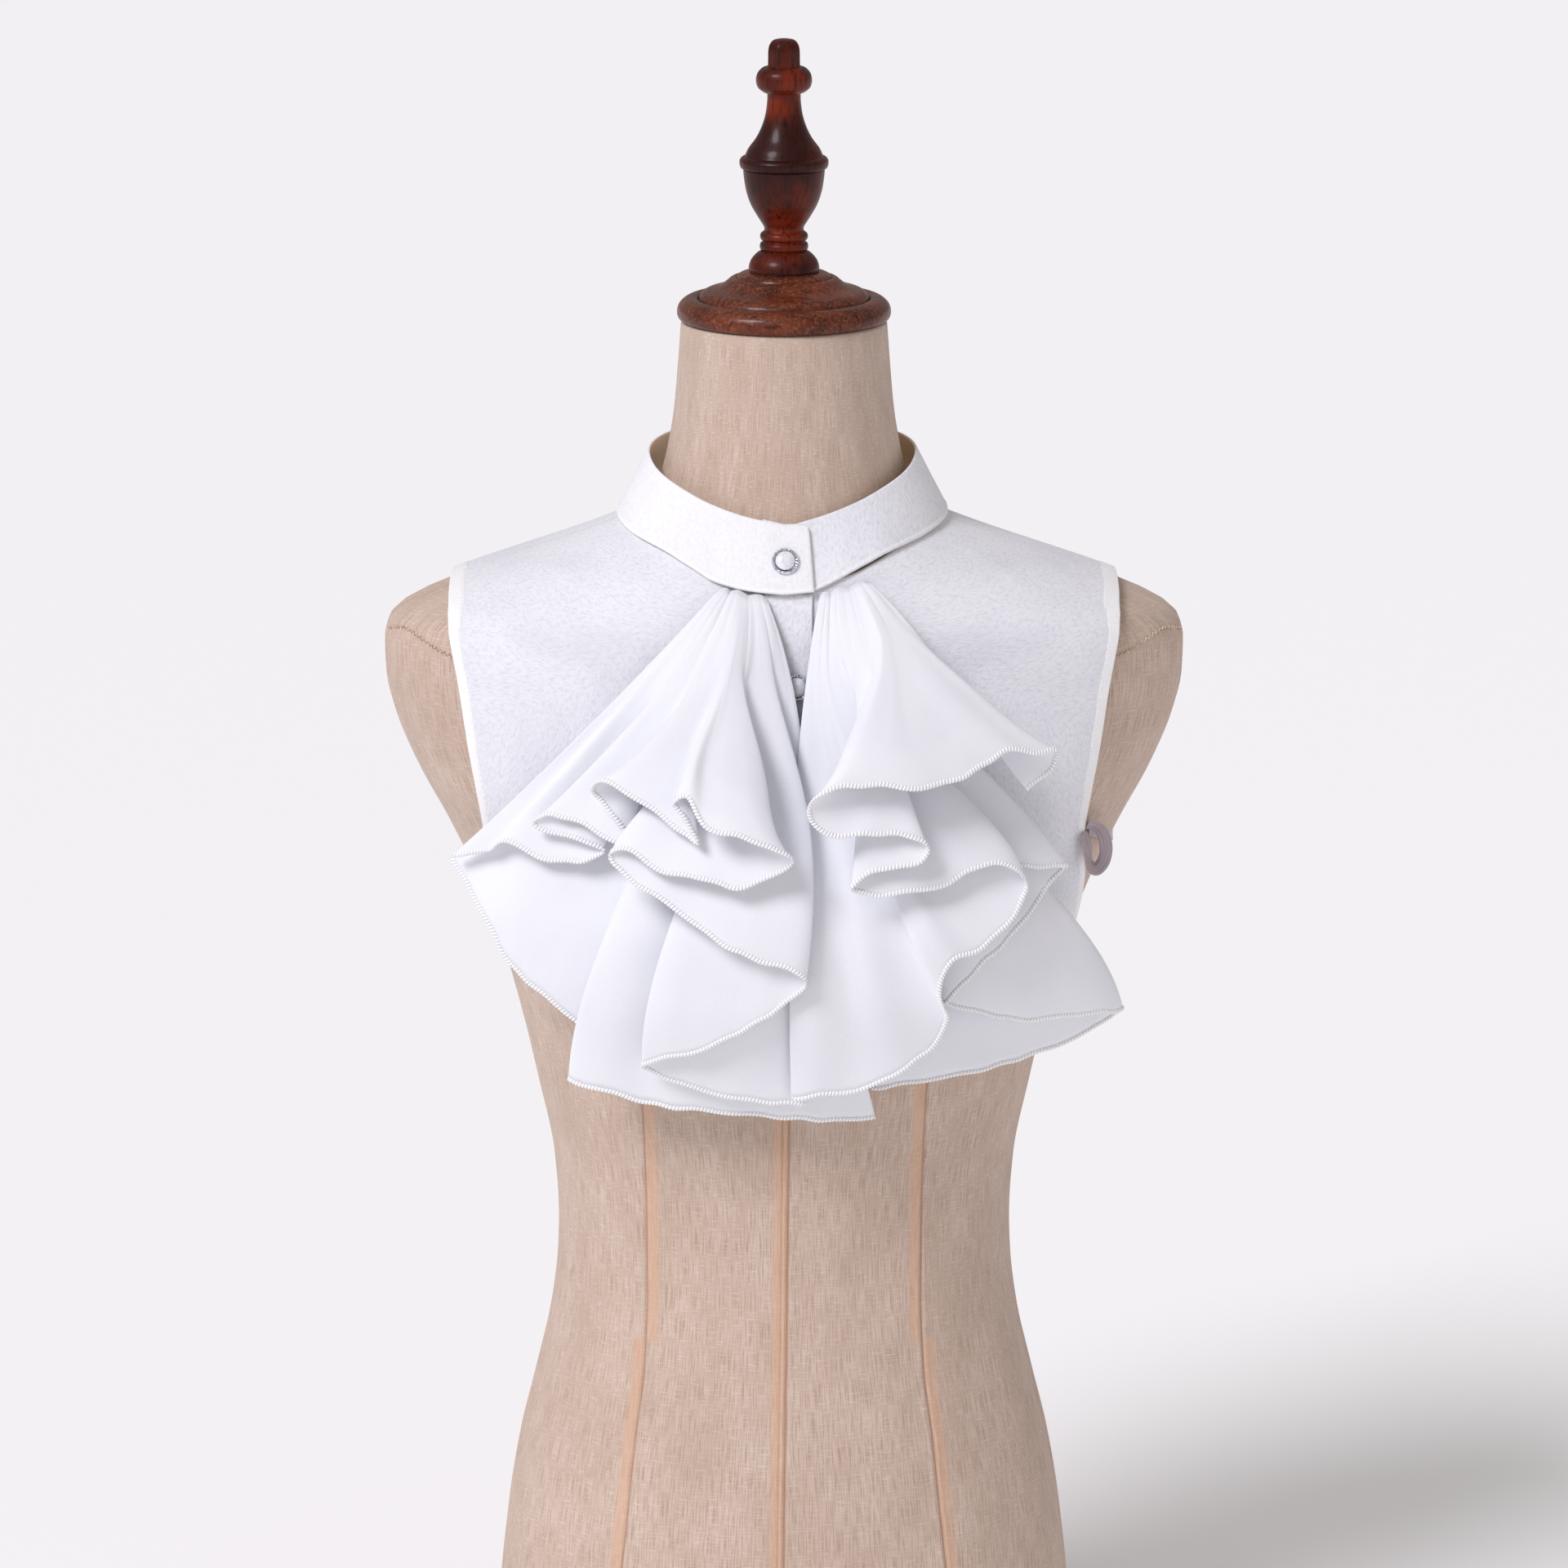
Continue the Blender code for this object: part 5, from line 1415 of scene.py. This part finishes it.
@dataclass
class Flounce:
    """One tier: a length of double chiffon gathered under the band, its hem in fold rows."""

    node: str
    cut: FlounceCut
    folds: list[Row]
    gather: tuple[Row, Row]
    stand_off: float
    flat_size: tuple[float, float]
    flat_area: float
    rests_on: list[str]
    late: int = 1                 # 1 for fold lines that bow near the gather, 2 for near the hem
    full: float = 1.0             # how far the cloth bulges above its folds, as a factor of their lift
    low_bows: dict[int, float] = field(default_factory=dict)    # bows near the hem, by number of the row
    tail: list[Row] = field(default_factory=list)       # more rows, where the cloth runs on out of sight
    tucks: float = 3.3
    tuck_depth: float = 1.5
    hem_across: float = 1.25
    hem_out: float = 0.8
    hem_pitch: float = 1.7
    hem_waver: float = 0.5
    head: float = 1.6             # how far the gathered puffs rise against the band

    def surface(self, place: Array, t: Array) -> Array:
        """Points of the flounce.

        Args:
            place: where along the fold rows, from 0 to the last row's index.
            t: share from the gather, 0, to the hem, 1.

        Returns:
            The points, in the shape that place and t make together.
        """
        cut, rows = self.cut, np.asarray(self.folds + self.tail, float)
        count = len(rows) - 1
        place, t = np.broadcast_arrays(place, t)
        low = np.array([[self.low_bows.get(k, 0.0)] for k in range(count + 1)])
        x, z, lift, bow, low_bow = np.moveaxis(spline(np.hstack([rows, low]), place), -1, 0)
        share = place / count
        crest = int(np.argmax(rows[:, 2]))
        first, most, last = rows[0, 2], rows[crest, 2], rows[-1, 2]
        swell = np.where(place < crest, first + (most - first) * place / max(crest, 1),
                         most + (last - most) * (place - crest) / max(count - crest, 1))
        own = ease((t - cut.fold_tent[0]) / (cut.fold_tent[1] - cut.fold_tent[0]))
        own = cut.fold_own + (1 - cut.fold_own) * own
        lift = swell * self.full * (1 - own) + lift * own
        own = ease((t - cut.bow_tent[0]) / (cut.bow_tent[1] - cut.bow_tent[0]))
        bow = bow * own + (rows[0, 3] + (rows[-1, 3] - rows[0, 3]) * share) * (1 - own)
        spread = (np.maximum(t - cut.fold_start, 0.0) / (1 - cut.fold_start)) ** cut.fold_spread
        (gx0, gz0), (gx1, gz1) = self.gather
        fan_x = rows[0, 0] + (rows[-1, 0] - rows[0, 0]) * share
        fan_z = rows[0, 1] + (rows[-1, 1] - rows[0, 1]) * share
        px = ((gx0 + (gx1 - gx0) * share) * (1 - t) + fan_x * t + (x - fan_x) * spread
              + bow * cut.bow_scale * t ** self.late * (1 - t) ** (3 - self.late)
              + low_bow * cut.bow_scale * t ** 2 * (1 - t))
        pz = (gz0 + (gz1 - gz0) * share) * (1 - t) + fan_z * t + (z - fan_z) * spread
        rise = 1 - (1 - t) ** cut.fold_rise
        return np.stack([px, cut.chest(px, pz) - self.stand_off - lift * rise, pz], axis=-1)

    def tuck_phase(self, place: Array) -> Array:
        """Where a place along the gather stands in the run of tucks, as an angle."""
        share = place / (len(self.folds + self.tail) - 1)
        return np.pi * (self.tucks * share + 0.3 * np.sin(5.1 * share))

    def relief(self, place: Array, t: Array, flat: Array) -> Array:
        """Fine shape over the folds: tucks at the gather and ripples at the hem.

        Args:
            place: where along the fold rows.
            t: share from the gather to the hem.
            flat: each point's place in the flat cloth, in millimetres.

        Returns:
            How far the cloth moves along its own direction.
        """
        phase = self.tuck_phase(place)
        puff = np.sqrt(np.abs(np.sin(phase)) + 0.02) + 0.35 * np.abs(np.sin(2.7 * phase + 0.6))
        fade = np.clip(1 - t / 0.5, 0.0, 1.0) ** 2.2 * np.clip(t / 0.05, 0.3, 1.0)
        s = flat[..., 0]
        ripple = np.sin(s / 5.3 + 1.2 * np.sin(s / 19.0)) + 0.7 * np.sin(s / 8.9 + 2.0)
        return self.tuck_depth * puff * fade + 0.25 * ripple * np.clip((t - 0.72) / 0.28, 0.0, 1.0) ** 2

    def build(self, finishes: Finishes) -> list[bpy.types.Object]:
        """Cloth and its overlocked hem.

        Args:
            finishes: the part's materials.

        Returns:
            Both pieces.
        """
        count = len(self.folds + self.tail) - 1
        place = np.linspace(0.0, count, count * self.cut.per_row + 1)[None]
        t = np.linspace(0.0, 1.0, self.cut.levels + 1)[:, None]
        plain = self.surface(place, t)
        hem_mm = run(plain[-1])
        drop = np.mean(run(plain, axis=0)[-1])
        flat = np.stack(np.broadcast_arrays(hem_mm[None], t * drop), axis=-1)
        waver = np.sin(hem_mm / 3.7 + np.sin(hem_mm / 11.0)) + 0.6 * np.sin(hem_mm / 7.9 + 1.0)
        puffs = np.abs(np.sin(self.tuck_phase(place)))
        drawn = (self.hem_waver * waver * np.clip((t - 0.9) / 0.1, 0.0, 1.0)
                 - self.head * puffs * np.clip(1 - t / 0.05, 0.0, 1.0))
        down = unit(np.gradient(plain, axis=0)) * drawn[..., None]
        outward = -grid_normals(plain) * self.relief(*np.broadcast_arrays(place, t), flat)[..., None]
        middle, flat = (plain + outward + down)[:, ::-1], flat[:, ::-1]
        half = np.full(middle.shape[:2], self.cut.wall / 2)
        made = shell(f"{self.node}_cloth", middle, half, flat, [finishes.chiffon])
        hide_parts(self.node)
        hem = self.hem(middle, finishes)
        log.info("%s: hem %.0f mm, drop %.0f mm, area %.0f cm2",
                 self.node, hem_mm[-1], drop, area_of(middle) / 100)
        return [settle(made), hem]

    def hem(self, middle: Array, finishes: Finishes) -> bpy.types.Object:
        """Overlocked edge: thread wrapped round the hem, one slanted ridge for each stitch.

        Args:
            middle: the cloth's grid of points.
            finishes: the part's materials.

        Returns:
            The piece.
        """
        covered = run(middle[-1])
        at = np.arange(0.0, covered[-1], self.hem_pitch / 4)
        down = unit(middle[-1] - middle[-2])
        normal = grid_normals(middle)[-1]
        path, across, out = (np.stack([np.interp(at, covered, v[:, k]) for k in range(3)], axis=-1)
                             for v in (middle[-1], down, normal))
        tangent = unit(np.gradient(path, axis=0))
        out = unit(out - tangent * np.sum(out * tangent, axis=-1, keepdims=True))
        across = unit(across - tangent * np.sum(across * tangent, axis=-1, keepdims=True)
                      - out * np.sum(across * out, axis=-1, keepdims=True))
        sides = 10
        angle = 2 * np.pi * np.arange(sides) / sides
        ridge = 1 + 0.17 * np.sin(2 * np.pi * at[:, None] / self.hem_pitch + angle[None])
        rings = ellipse(sides, self.hem_across, self.hem_out)[None] * ridge[..., None]
        batch = Batch()
        batch.add(*swept(path, across, out, rings))
        made = batch.piece(f"{self.node}_hem", finishes.overlock)
        around = np.stack(np.broadcast_arrays(at[:, None], angle[None] / (2 * np.pi)), axis=-1).reshape(-1, 2)
        write_flat(made, np.vstack([around, [[at[0], 0.0], [at[-1], 0.0]]]))
        return settle(made)


def area_of(grid: Array) -> float:
    """Area of a grid of points."""
    across, down = grid[:-1, 1:] - grid[:-1, :-1], grid[1:, :-1] - grid[:-1, :-1]
    return float(np.linalg.norm(np.cross(across, down), axis=-1).sum())


# Ends of both gathers under the band: x, z
LEFT_GATHER: tuple[Row, Row] = ((-31.0, 606.8), (-8.0, 602.6))
RIGHT_GATHER: tuple[Row, Row] = ((17.0, 603.2), (41.0, 609.8))

# Fold rows at the hems, in order along the cloth: x, z, lift off the chest, bow of the fold line
LEFT_UPPER: list[Row] = [
    (-160.0, 476.0, 11.0, 0.0), (-143.0, 481.0, 10.0, 0.0), (-134.0, 487.0, 12.0, 0.0),
    (-118.0, 481.0, 10.0, 0.0), (-98.0, 480.5, 10.0, 0.0), (-86.0, 487.0, 13.0, 0.0),
    (-98.0, 493.0, 16.0, 0.0), (-113.0, 494.5, 16.5, 0.0), (-119.5, 499.0, 19.0, 0.0),
    (-112.0, 504.0, 21.5, 0.0), (-97.0, 502.0, 22.0, 0.0), (-80.0, 494.0, 23.0, 0.0),
    (-74.0, 495.0, 25.5, 0.0), (-79.0, 506.0, 28.5, 0.0), (-86.0, 514.0, 30.5, 0.0),
    (-90.0, 521.0, 36.0, 0.0), (-84.0, 526.5, 43.0, 0.0), (-66.0, 518.0, 44.5, 0.0),
    (-50.0, 507.0, 45.0, 0.0), (-40.5, 501.0, 47.5, 0.0), (-46.0, 512.0, 50.5, 0.0),
    (-51.5, 521.0, 53.5, 0.0), (-45.0, 525.0, 56.5, 0.0), (-37.0, 511.0, 57.0, 0.0),
    (-20.0, 507.0, 57.0, 4.0), (-5.0, 501.0, 55.0, 10.0), (3.5, 494.0, 49.0, 14.0),
    (-6.0, 485.5, 43.5, 10.0), (-23.0, 480.0, 42.0, 4.0), (-38.0, 483.5, 41.5, 0.0),
    (-56.0, 485.5, 40.5, 0.0), (-72.0, 494.5, 40.0, 0.0), (-82.0, 492.0, 36.8, 0.0),
    (-76.0, 482.0, 34.0, 0.0), (-54.0, 469.0, 33.0, 0.0), (-34.0, 454.5, 33.0, 0.0),
    (-12.0, 444.0, 33.0, 6.0), (5.0, 438.0, 32.5, 12.0), (10.5, 431.5, 29.5, 14.0),
    (2.0, 422.0, 27.0, 11.0), (-15.0, 408.5, 26.0, 5.0), (-38.0, 395.0, 25.0, 0.0),
    (-58.0, 387.5, 24.0, 0.0), (-68.0, 382.5, 21.0, 0.0), (-57.0, 376.0, 18.5, 0.0),
    (-38.0, 369.0, 18.0, 3.0), (-20.0, 365.0, 18.0, 8.0), (-1.0, 363.0, 18.0, 12.0),
]
LEFT_UPPER_TAIL: list[Row] = [(10.0, 362.0, 16.0, 12.0)]
LEFT_LOWER: list[Row] = [
    (-161.0, 473.0, 3.0, 0.0), (-154.0, 461.0, 3.0, 0.0), (-143.0, 443.0, 3.5, 0.0),
    (-132.0, 424.0, 3.0, 0.0), (-119.0, 412.0, 2.0, 0.0), (-102.0, 399.0, 1.5, 0.0),
    (-84.0, 386.0, 2.5, 0.0), (-82.0, 384.0, 6.5, 0.0), (-92.0, 377.0, 8.5, 0.0),
    (-103.0, 369.5, 10.5, 0.0), (-102.5, 368.5, 14.0, 0.0), (-88.0, 365.0, 15.5, 0.0),
    (-68.0, 360.0, 14.5, 0.0), (-44.0, 357.0, 15.0, 0.0), (-20.0, 355.0, 14.0, 0.0),
    (4.0, 353.0, 14.5, -5.0), (24.0, 351.0, 13.5, -8.0), (44.0, 353.0, 13.5, -9.0),
]
RIGHT_UPPER: list[Row] = [
    (3.5, 367.0, 23.0, -5.0), (18.0, 369.0, 25.0, -4.0), (37.0, 371.0, 23.5, -2.0),
    (55.0, 381.0, 26.0, 0.0), (72.0, 394.0, 24.0, 0.0), (77.5, 408.0, 25.0, 0.0),
    (74.0, 424.0, 29.0, 0.0), (79.0, 439.0, 31.5, 0.0), (91.0, 443.0, 29.5, 0.0),
    (105.0, 454.0, 30.0, 0.0), (113.0, 465.0, 31.0, 2.0), (115.5, 474.0, 34.5, 3.0),
    (108.0, 484.0, 38.0, 2.0), (94.0, 486.0, 39.0, 0.0), (78.0, 478.0, 37.5, 0.0),
    (60.0, 476.0, 39.0, 0.0), (42.0, 475.0, 40.0, 0.0), (32.0, 479.0, 43.0, 0.0),
    (39.0, 486.0, 46.0, 0.0), (53.0, 490.0, 46.5, 0.0), (64.0, 491.0, 47.5, 0.0),
    (68.0, 497.5, 50.0, 0.0), (61.0, 504.0, 52.5, 0.0), (43.0, 507.0, 53.5, 0.0),
    (25.0, 506.0, 55.0, -2.0), (13.5, 513.0, 58.0, -5.0), (12.5, 522.0, 62.0, -5.0),
    (23.0, 530.5, 65.0, -3.0), (45.0, 531.0, 64.0, 0.0), (66.0, 529.0, 61.0, 0.0),
    (86.0, 532.0, 56.0, 3.0), (105.0, 541.0, 50.0, 6.0), (120.0, 538.0, 47.0, 8.0),
    (130.0, 537.0, 43.0, 9.0), (126.5, 528.0, 38.5, 8.0), (115.0, 519.0, 37.0, 6.0),
]
RIGHT_LOWER: list[Row] = [
    (42.0, 364.5, 3.0, 0.0), (68.0, 367.0, 3.0, 2.0), (94.0, 371.0, 3.5, 6.0),
    (120.0, 376.0, 2.5, 14.0), (146.0, 384.0, 2.5, 24.0), (164.0, 392.5, 4.0, 30.0),
    (163.5, 394.5, 8.5, 30.0), (148.0, 397.0, 10.5, 24.0), (120.0, 398.0, 10.0, 12.0),
    (97.0, 404.0, 10.0, 4.0), (78.0, 412.0, 12.0, 0.0), (79.0, 415.0, 15.5, 0.0),
    (92.0, 430.0, 17.0, 0.0), (107.0, 443.0, 16.0, 2.0), (121.0, 460.0, 16.0, 5.0),
    (134.0, 474.5, 17.5, 8.0), (133.0, 476.5, 21.0, 8.0), (108.0, 480.0, 22.5, 4.0),
]
RIGHT_LOWER_TAIL: list[Row] = [(88.0, 484.0, 23.5, 2.0), (68.0, 484.0, 24.0, 0.0)]


# Buttons

@dataclass
class Button:
    """Pearl cabochon in a cast silver setting, ringed with small beads and stones."""

    node: str
    centre: tuple[float, float, float]
    tilt: float
    setting: list[list[Row]] = field(default_factory=lambda: [
        [(0.1, 0.0), (6.2, 0.0)], [(6.2, 0.0), (6.6, 0.5), (6.5, 1.2), (6.0, 1.5), (5.2, 1.3), (4.9, 1.1)],
        [(4.9, 1.1), (0.1, 1.1)]])
    pearl: list[list[Row]] = field(default_factory=lambda: [
        [(0.1, 1.3), (4.5, 1.3)], [(4.5, 1.3), (4.7, 1.75), (4.3, 2.4), (3.2, 3.0), (1.7, 3.4), (0.1, 3.5)]])
    bead: list[list[Row]] = field(default_factory=lambda: [
        [(0.02, -0.36), (0.28, -0.24), (0.38, 0.0), (0.28, 0.24), (0.02, 0.36)]])
    stone: list[list[Row]] = field(default_factory=lambda: [
        [(0.02, -0.5), (0.5, -0.2), (0.72, 0.1), (0.42, 0.5), (0.02, 0.5)]])
    stones: int = 23
    ring: float = 5.75
    ring_height: float = 1.5

    def build(self, finishes: Finishes) -> list[bpy.types.Object]:
        """Setting, stones and pearl.

        Args:
            finishes: the part's materials.

        Returns:
            The pieces.
        """
        rad = math.radians(self.tilt)
        face = np.array([0.0, -math.cos(rad), math.sin(rad)])
        side = np.array([1.0, 0.0, 0.0])
        up = np.cross(face, side)
        centre = np.array(self.centre)

        def put(batch: Batch, body: tuple[Array, list[list[int]]]) -> None:
            """Add a body, moved to the button's place."""
            batch.add(placed(body[0], centre, side, up, face), body[1])

        setting, pearl, stones = Batch(), Batch(), Batch()
        put(setting, turned(self.setting, 72))
        put(pearl, turned(self.pearl, 64))
        bead = turned(self.bead, 10, steps=2)
        stone = turned(self.stone, 8, steps=1)
        for k in range(self.stones):
            angle = 2 * math.pi * k / self.stones
            between = angle + math.pi / self.stones
            spot = np.array([self.ring * math.cos(angle), self.ring * math.sin(angle), self.ring_height])
            outer = self.ring * 1.06
            gap = np.array([outer * math.cos(between), outer * math.sin(between), self.ring_height - 0.05])
            put(stones, (stone[0] + spot, stone[1]))
            put(setting, (bead[0] + gap, bead[1]))
        pieces = [setting.piece(f"{self.node}_setting", finishes.metal),
                  stones.piece(f"{self.node}_stones", finishes.glass, smooth=False),
                  pearl.piece(f"{self.node}_cabochon", finishes.pearl)]
        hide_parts(f"{self.node}_rim")
        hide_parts(f"{self.node}_pearl")
        for piece, slot in zip(pieces, ("silver", "silver", "pearl")):
            settle(piece)
        return pieces


def buttons(lay: FlatLay) -> list[Button]:
    """The button on the band and the one on the placket."""
    height = 562.0
    depth = float(lay.shape.front(np.array(height))) + lay.placket_out + 0.6
    return [Button("button_upper", (0.6, -80.6, 619.8), 29.0),
            Button("button_lower", (6.0, -depth, height), 14.0)]


# Side ties

@dataclass
class SideTie:
    """Satin ribbon sewn under the side of the yoke, with a loop at the armhole for a waist ribbon."""

    side: Side
    lay: FlatLay
    right_strap: list[Row] = field(default_factory=lambda: [
        (30.2, 482.5), (18.0, 474.0), (0.0, 466.0), (-11.0, 463.0), (-20.6, 460.5)])
    left_strap: list[Row] = field(default_factory=lambda: [
        (26.4, 470.5), (15.0, 463.0), (0.0, 456.5), (-9.0, 454.2), (-16.5, 452.5)])
    loop: list[Row] = field(default_factory=lambda: [
        (147.9, -62.6, 485.4), (151.8, -61.4, 484.6), (155.4, -59.8, 480.4), (157.2, -58.6, 473.2),
        (156.2, -58.2, 466.2), (152.8, -58.6, 462.0), (149.8, -59.8, 463.8), (148.3, -61.4, 469.0),
        (147.2, -62.6, 475.4), (145.9, -63.4, 481.0)])
    left_tuck: tuple[float, float, float] = (15.0, -12.0, -4.0)     # shift of the loop under the ruffle
    width: float = 6.5
    wall: float = 0.6
    hug: float = 1.9              # how much nearer the form the strap lies between its ends
    strap_steps: int = 60
    loop_steps: int = 120

    def ribbon(self, name: str, path: Array, wide: Array, finish: bpy.types.Material) -> bpy.types.Object:
        """Flat ribbon with softly cupped edges.

        Args:
            name: the piece's name.
            path: points along it.
            wide: rough direction across it at each point.
            finish: its material.

        Returns:
            The piece.
        """
        way = unit(np.gradient(path, axis=0))
        across = unit(wide - way * np.sum(wide * way, axis=-1, keepdims=True))
        normal = np.cross(way, across)
        share = np.linspace(-0.5, 0.5, 11)[:, None, None]
        covered = run(path)
        cup = 0.35 * (2 * share) ** 2 * np.sin(covered / 6.0)[None, :, None]
        middle = path[None] + across[None] * share * self.width + normal[None] * cup
        flat = np.stack(np.broadcast_arrays(share[..., 0] * self.width, covered[None]), axis=-1)
        half = self.wall / 2 * np.sqrt(np.clip(1 - (2 * np.abs(share[..., 0])) ** 6, 0.2, 1.0))
        made = shell(name, middle, half * np.ones(middle.shape[:2]), flat, [finish])
        return settle(made)

    def build(self, finishes: Finishes) -> list[bpy.types.Object]:
        """Strap and loop.

        Args:
            finishes: the part's materials.

        Returns:
            Both pieces.
        """
        sign = self.side.value
        route = self.left_strap if self.side is Side.LEFT else self.right_strap
        angle, z = along(route, np.linspace(0.0, 1.0, self.strap_steps)).T
        sunk = self.hug * np.sqrt(np.sin(np.linspace(0.0, np.pi, self.strap_steps)).clip(0.0))
        path = self.lay.shape.point(angle, z, self.lay.panel_out - sunk) * np.array([sign, 1.0, 1.0])
        upright = np.tile([0.0, 0.0, 1.0], (len(path), 1))
        strap = self.ribbon(f"side_strap_{self.side.word}_ribbon", path, upright, finishes.satin)
        tuck = np.array(self.left_tuck if self.side is Side.LEFT else (0.0, 0.0, 0.0))
        corners = np.asarray(self.loop, float) * np.array([sign, 1.0, 1.0]) + tuck
        path = along([tuple(p) for p in corners], np.linspace(0.0, 1.0, self.loop_steps))
        wide = unit(path - corners.mean(axis=0)) * 0.85 + np.array([0.0, -0.5, 0.0])
        loop = self.ribbon(f"side_loop_{self.side.word}_ribbon", path, wide, finishes.satin)
        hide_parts(f"side_strap_{self.side.word}")
        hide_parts(f"side_loop_{self.side.word}")
        return [strap, loop]


# Studio

@dataclass
class Studio:
    """Pale floor, soft light and the photograph's camera. Sizes here are metres."""

    target: tuple[float, float, float] = (0.0, -0.040, 0.500)
    elevation: float = 14.0
    distance: float = 3.0
    lens: float = 140.6
    sensor: float = 36.0
    floor_size: float = 80.0
    floor_drop: float = 0.2             # how far it lies below the form, in millimetres
    key_power: float = 2.1
    key_from: tuple[float, float, float] = (-1.9, -1.9, 3.1)
    fill_power: float = 3.0
    fill_from: tuple[float, float, float] = (1.8, -2.0, 1.0)
    air_colour: str = "#f7f2f0"
    air_strength: float = 0.41

    def camera(self) -> None:
        """Create the camera and make it the scene's."""
        data = bpy.data.cameras.new("camera")
        data.lens, data.sensor_width = self.lens, self.sensor
        data.clip_end = 200.0
        made = bpy.data.objects.new("camera", data)
        bpy.context.scene.collection.objects.link(made)
        rad = math.radians(self.elevation)
        back = Vector((0.0, -math.cos(rad), math.sin(rad)))
        made.location = Vector(self.target) + back * self.distance
        made.rotation_euler = (-back).to_track_quat("-Z", "Y").to_euler()
        bpy.context.scene.camera = made

    def floor(self) -> None:
        """Lay the pale floor."""
        size, low = self.floor_size / 2 / MM, -self.floor_drop
        batch = Batch()
        batch.add(np.array([[-size, -size, low], [size, -size, low], [size, size, low], [-size, size, low]]),
                  [[0, 1, 2, 3]])
        floor = batch.piece("studio_floor", StudioPaper("paper_white").build())

    def light(self, name: str, kind: str, energy: float, colour: str, place: tuple[float, float, float],
              **settings: float) -> None:
        """Add a light that looks at the collar.

        Args:
            name: its name.
            kind: SUN or AREA.
            energy: its power, in Blender's units for that kind.
            colour: its colour as sRGB hex.
            place: where it stands, or the side that it shines from.
            settings: its other values, such as size or angle.
        """
        data = bpy.data.lights.new(name, kind)
        data.energy = energy
        data.color = linear(colour)[:3]
        for key, value in settings.items():
            setattr(data, key, value)
        made = bpy.data.objects.new(name, data)
        made.location = place
        way = Vector(self.target) - Vector(place)
        made.rotation_euler = way.to_track_quat("-Z", "Y").to_euler()
        bpy.context.scene.collection.objects.link(made)

    def build(self) -> None:
        """Set up camera, floor and light."""
        self.camera()
        self.floor()
        self.light("key", "SUN", self.key_power, "#fcfaff", self.key_from, angle=0.4)
        self.light("fill", "AREA", self.fill_power, "#fff2e8", self.fill_from, size=1.8)
        world = bpy.data.worlds.new("studio_air")
        world.use_nodes = True
        air = next(n for n in world.node_tree.nodes if n.type == "BACKGROUND")
        air.inputs["Color"].default_value = linear(self.air_colour)
        air.inputs["Strength"].default_value = self.air_strength
        bpy.context.scene.world = world
        bpy.context.scene.view_settings.view_transform = "Standard"


def flounces(cut: FlounceCut) -> list[Flounce]:
    """The four flounces, from the one nearest the chest outwards on each side."""
    left, right = ["front_left_cloth"], ["front_right_cloth"]
    return [
        Flounce("flounce_left_lower", cut, LEFT_LOWER, LEFT_GATHER, 1.3, (0.40, 0.22), 0.038, left,
                low_bows={5: -4.0, 6: -10.0, 7: -13.0, 8: -14.0, 9: -15.0, 10: -15.0, 11: -13.0, 12: -10.0,
                          13: -6.0, 14: -3.0}),
        Flounce("flounce_left_upper", cut, LEFT_UPPER, LEFT_GATHER, 3.2, (0.50, 0.20), 0.045,
                ["flounce_left_lower_cloth"], tail=LEFT_UPPER_TAIL,
                low_bows={30: -3.0, 31: -7.0, 32: -9.0, 33: -7.0, 34: -3.0, 35: 3.0, 36: 7.0, 37: 9.0,
                          38: 9.0, 39: 6.0, 40: -1.0, 41: -7.0, 42: -12.0, 43: -14.0, 44: -12.0, 45: -8.0,
                          46: -3.0}),
        Flounce("flounce_right_lower", cut, RIGHT_LOWER, RIGHT_GATHER, -0.6, (0.42, 0.22), 0.040, right,
                late=2, full=3.0, tail=RIGHT_LOWER_TAIL,
                low_bows={3: -2.0, 4: -5.0, 5: -7.0, 6: -7.0, 7: -5.0, 8: -2.0}),
        Flounce("flounce_right_upper", cut, RIGHT_UPPER, RIGHT_GATHER, 1.5, (0.42, 0.20), 0.034,
                ["flounce_right_lower_cloth"],
                low_bows={0: -3.0, 1: -1.0, 9: 7.0, 10: 14.0, 11: 17.0, 12: 12.0, 13: 5.0}),
    ]


def main() -> None:
    """Build every piece."""
    logging.basicConfig(level=logging.INFO, format="%(message)s")
    Studio().build()
    finishes = Finishes.make()
    shape = FormShape()
    lay = FlatLay(shape)
    pieces = DressForm(shape).build(finishes)
    ties = {side: SideTie(side, lay).build(finishes) for side in Side}
    for side in Side:
        pieces += ties[side]
        sewn_on = [piece.name for piece in ties[side]]
        pieces += Panel(side, False, lay, FRONT_CREASES, sewn_on).build(finishes)
        pieces += Panel(side, True, lay, BACK_CREASES).build(finishes)
    pieces += Placket(lay).build(finishes)
    pieces += StandBand(lay).build(finishes)
    for flounce in flounces(FlounceCut(shape)):
        pieces += flounce.build(finishes)
    for button in buttons(lay):
        pieces += button.build(finishes)
    for piece in pieces:
        log.info("%s: %d points", piece.name, len(piece.data.vertices))


if __name__ == "__main__":
    main()
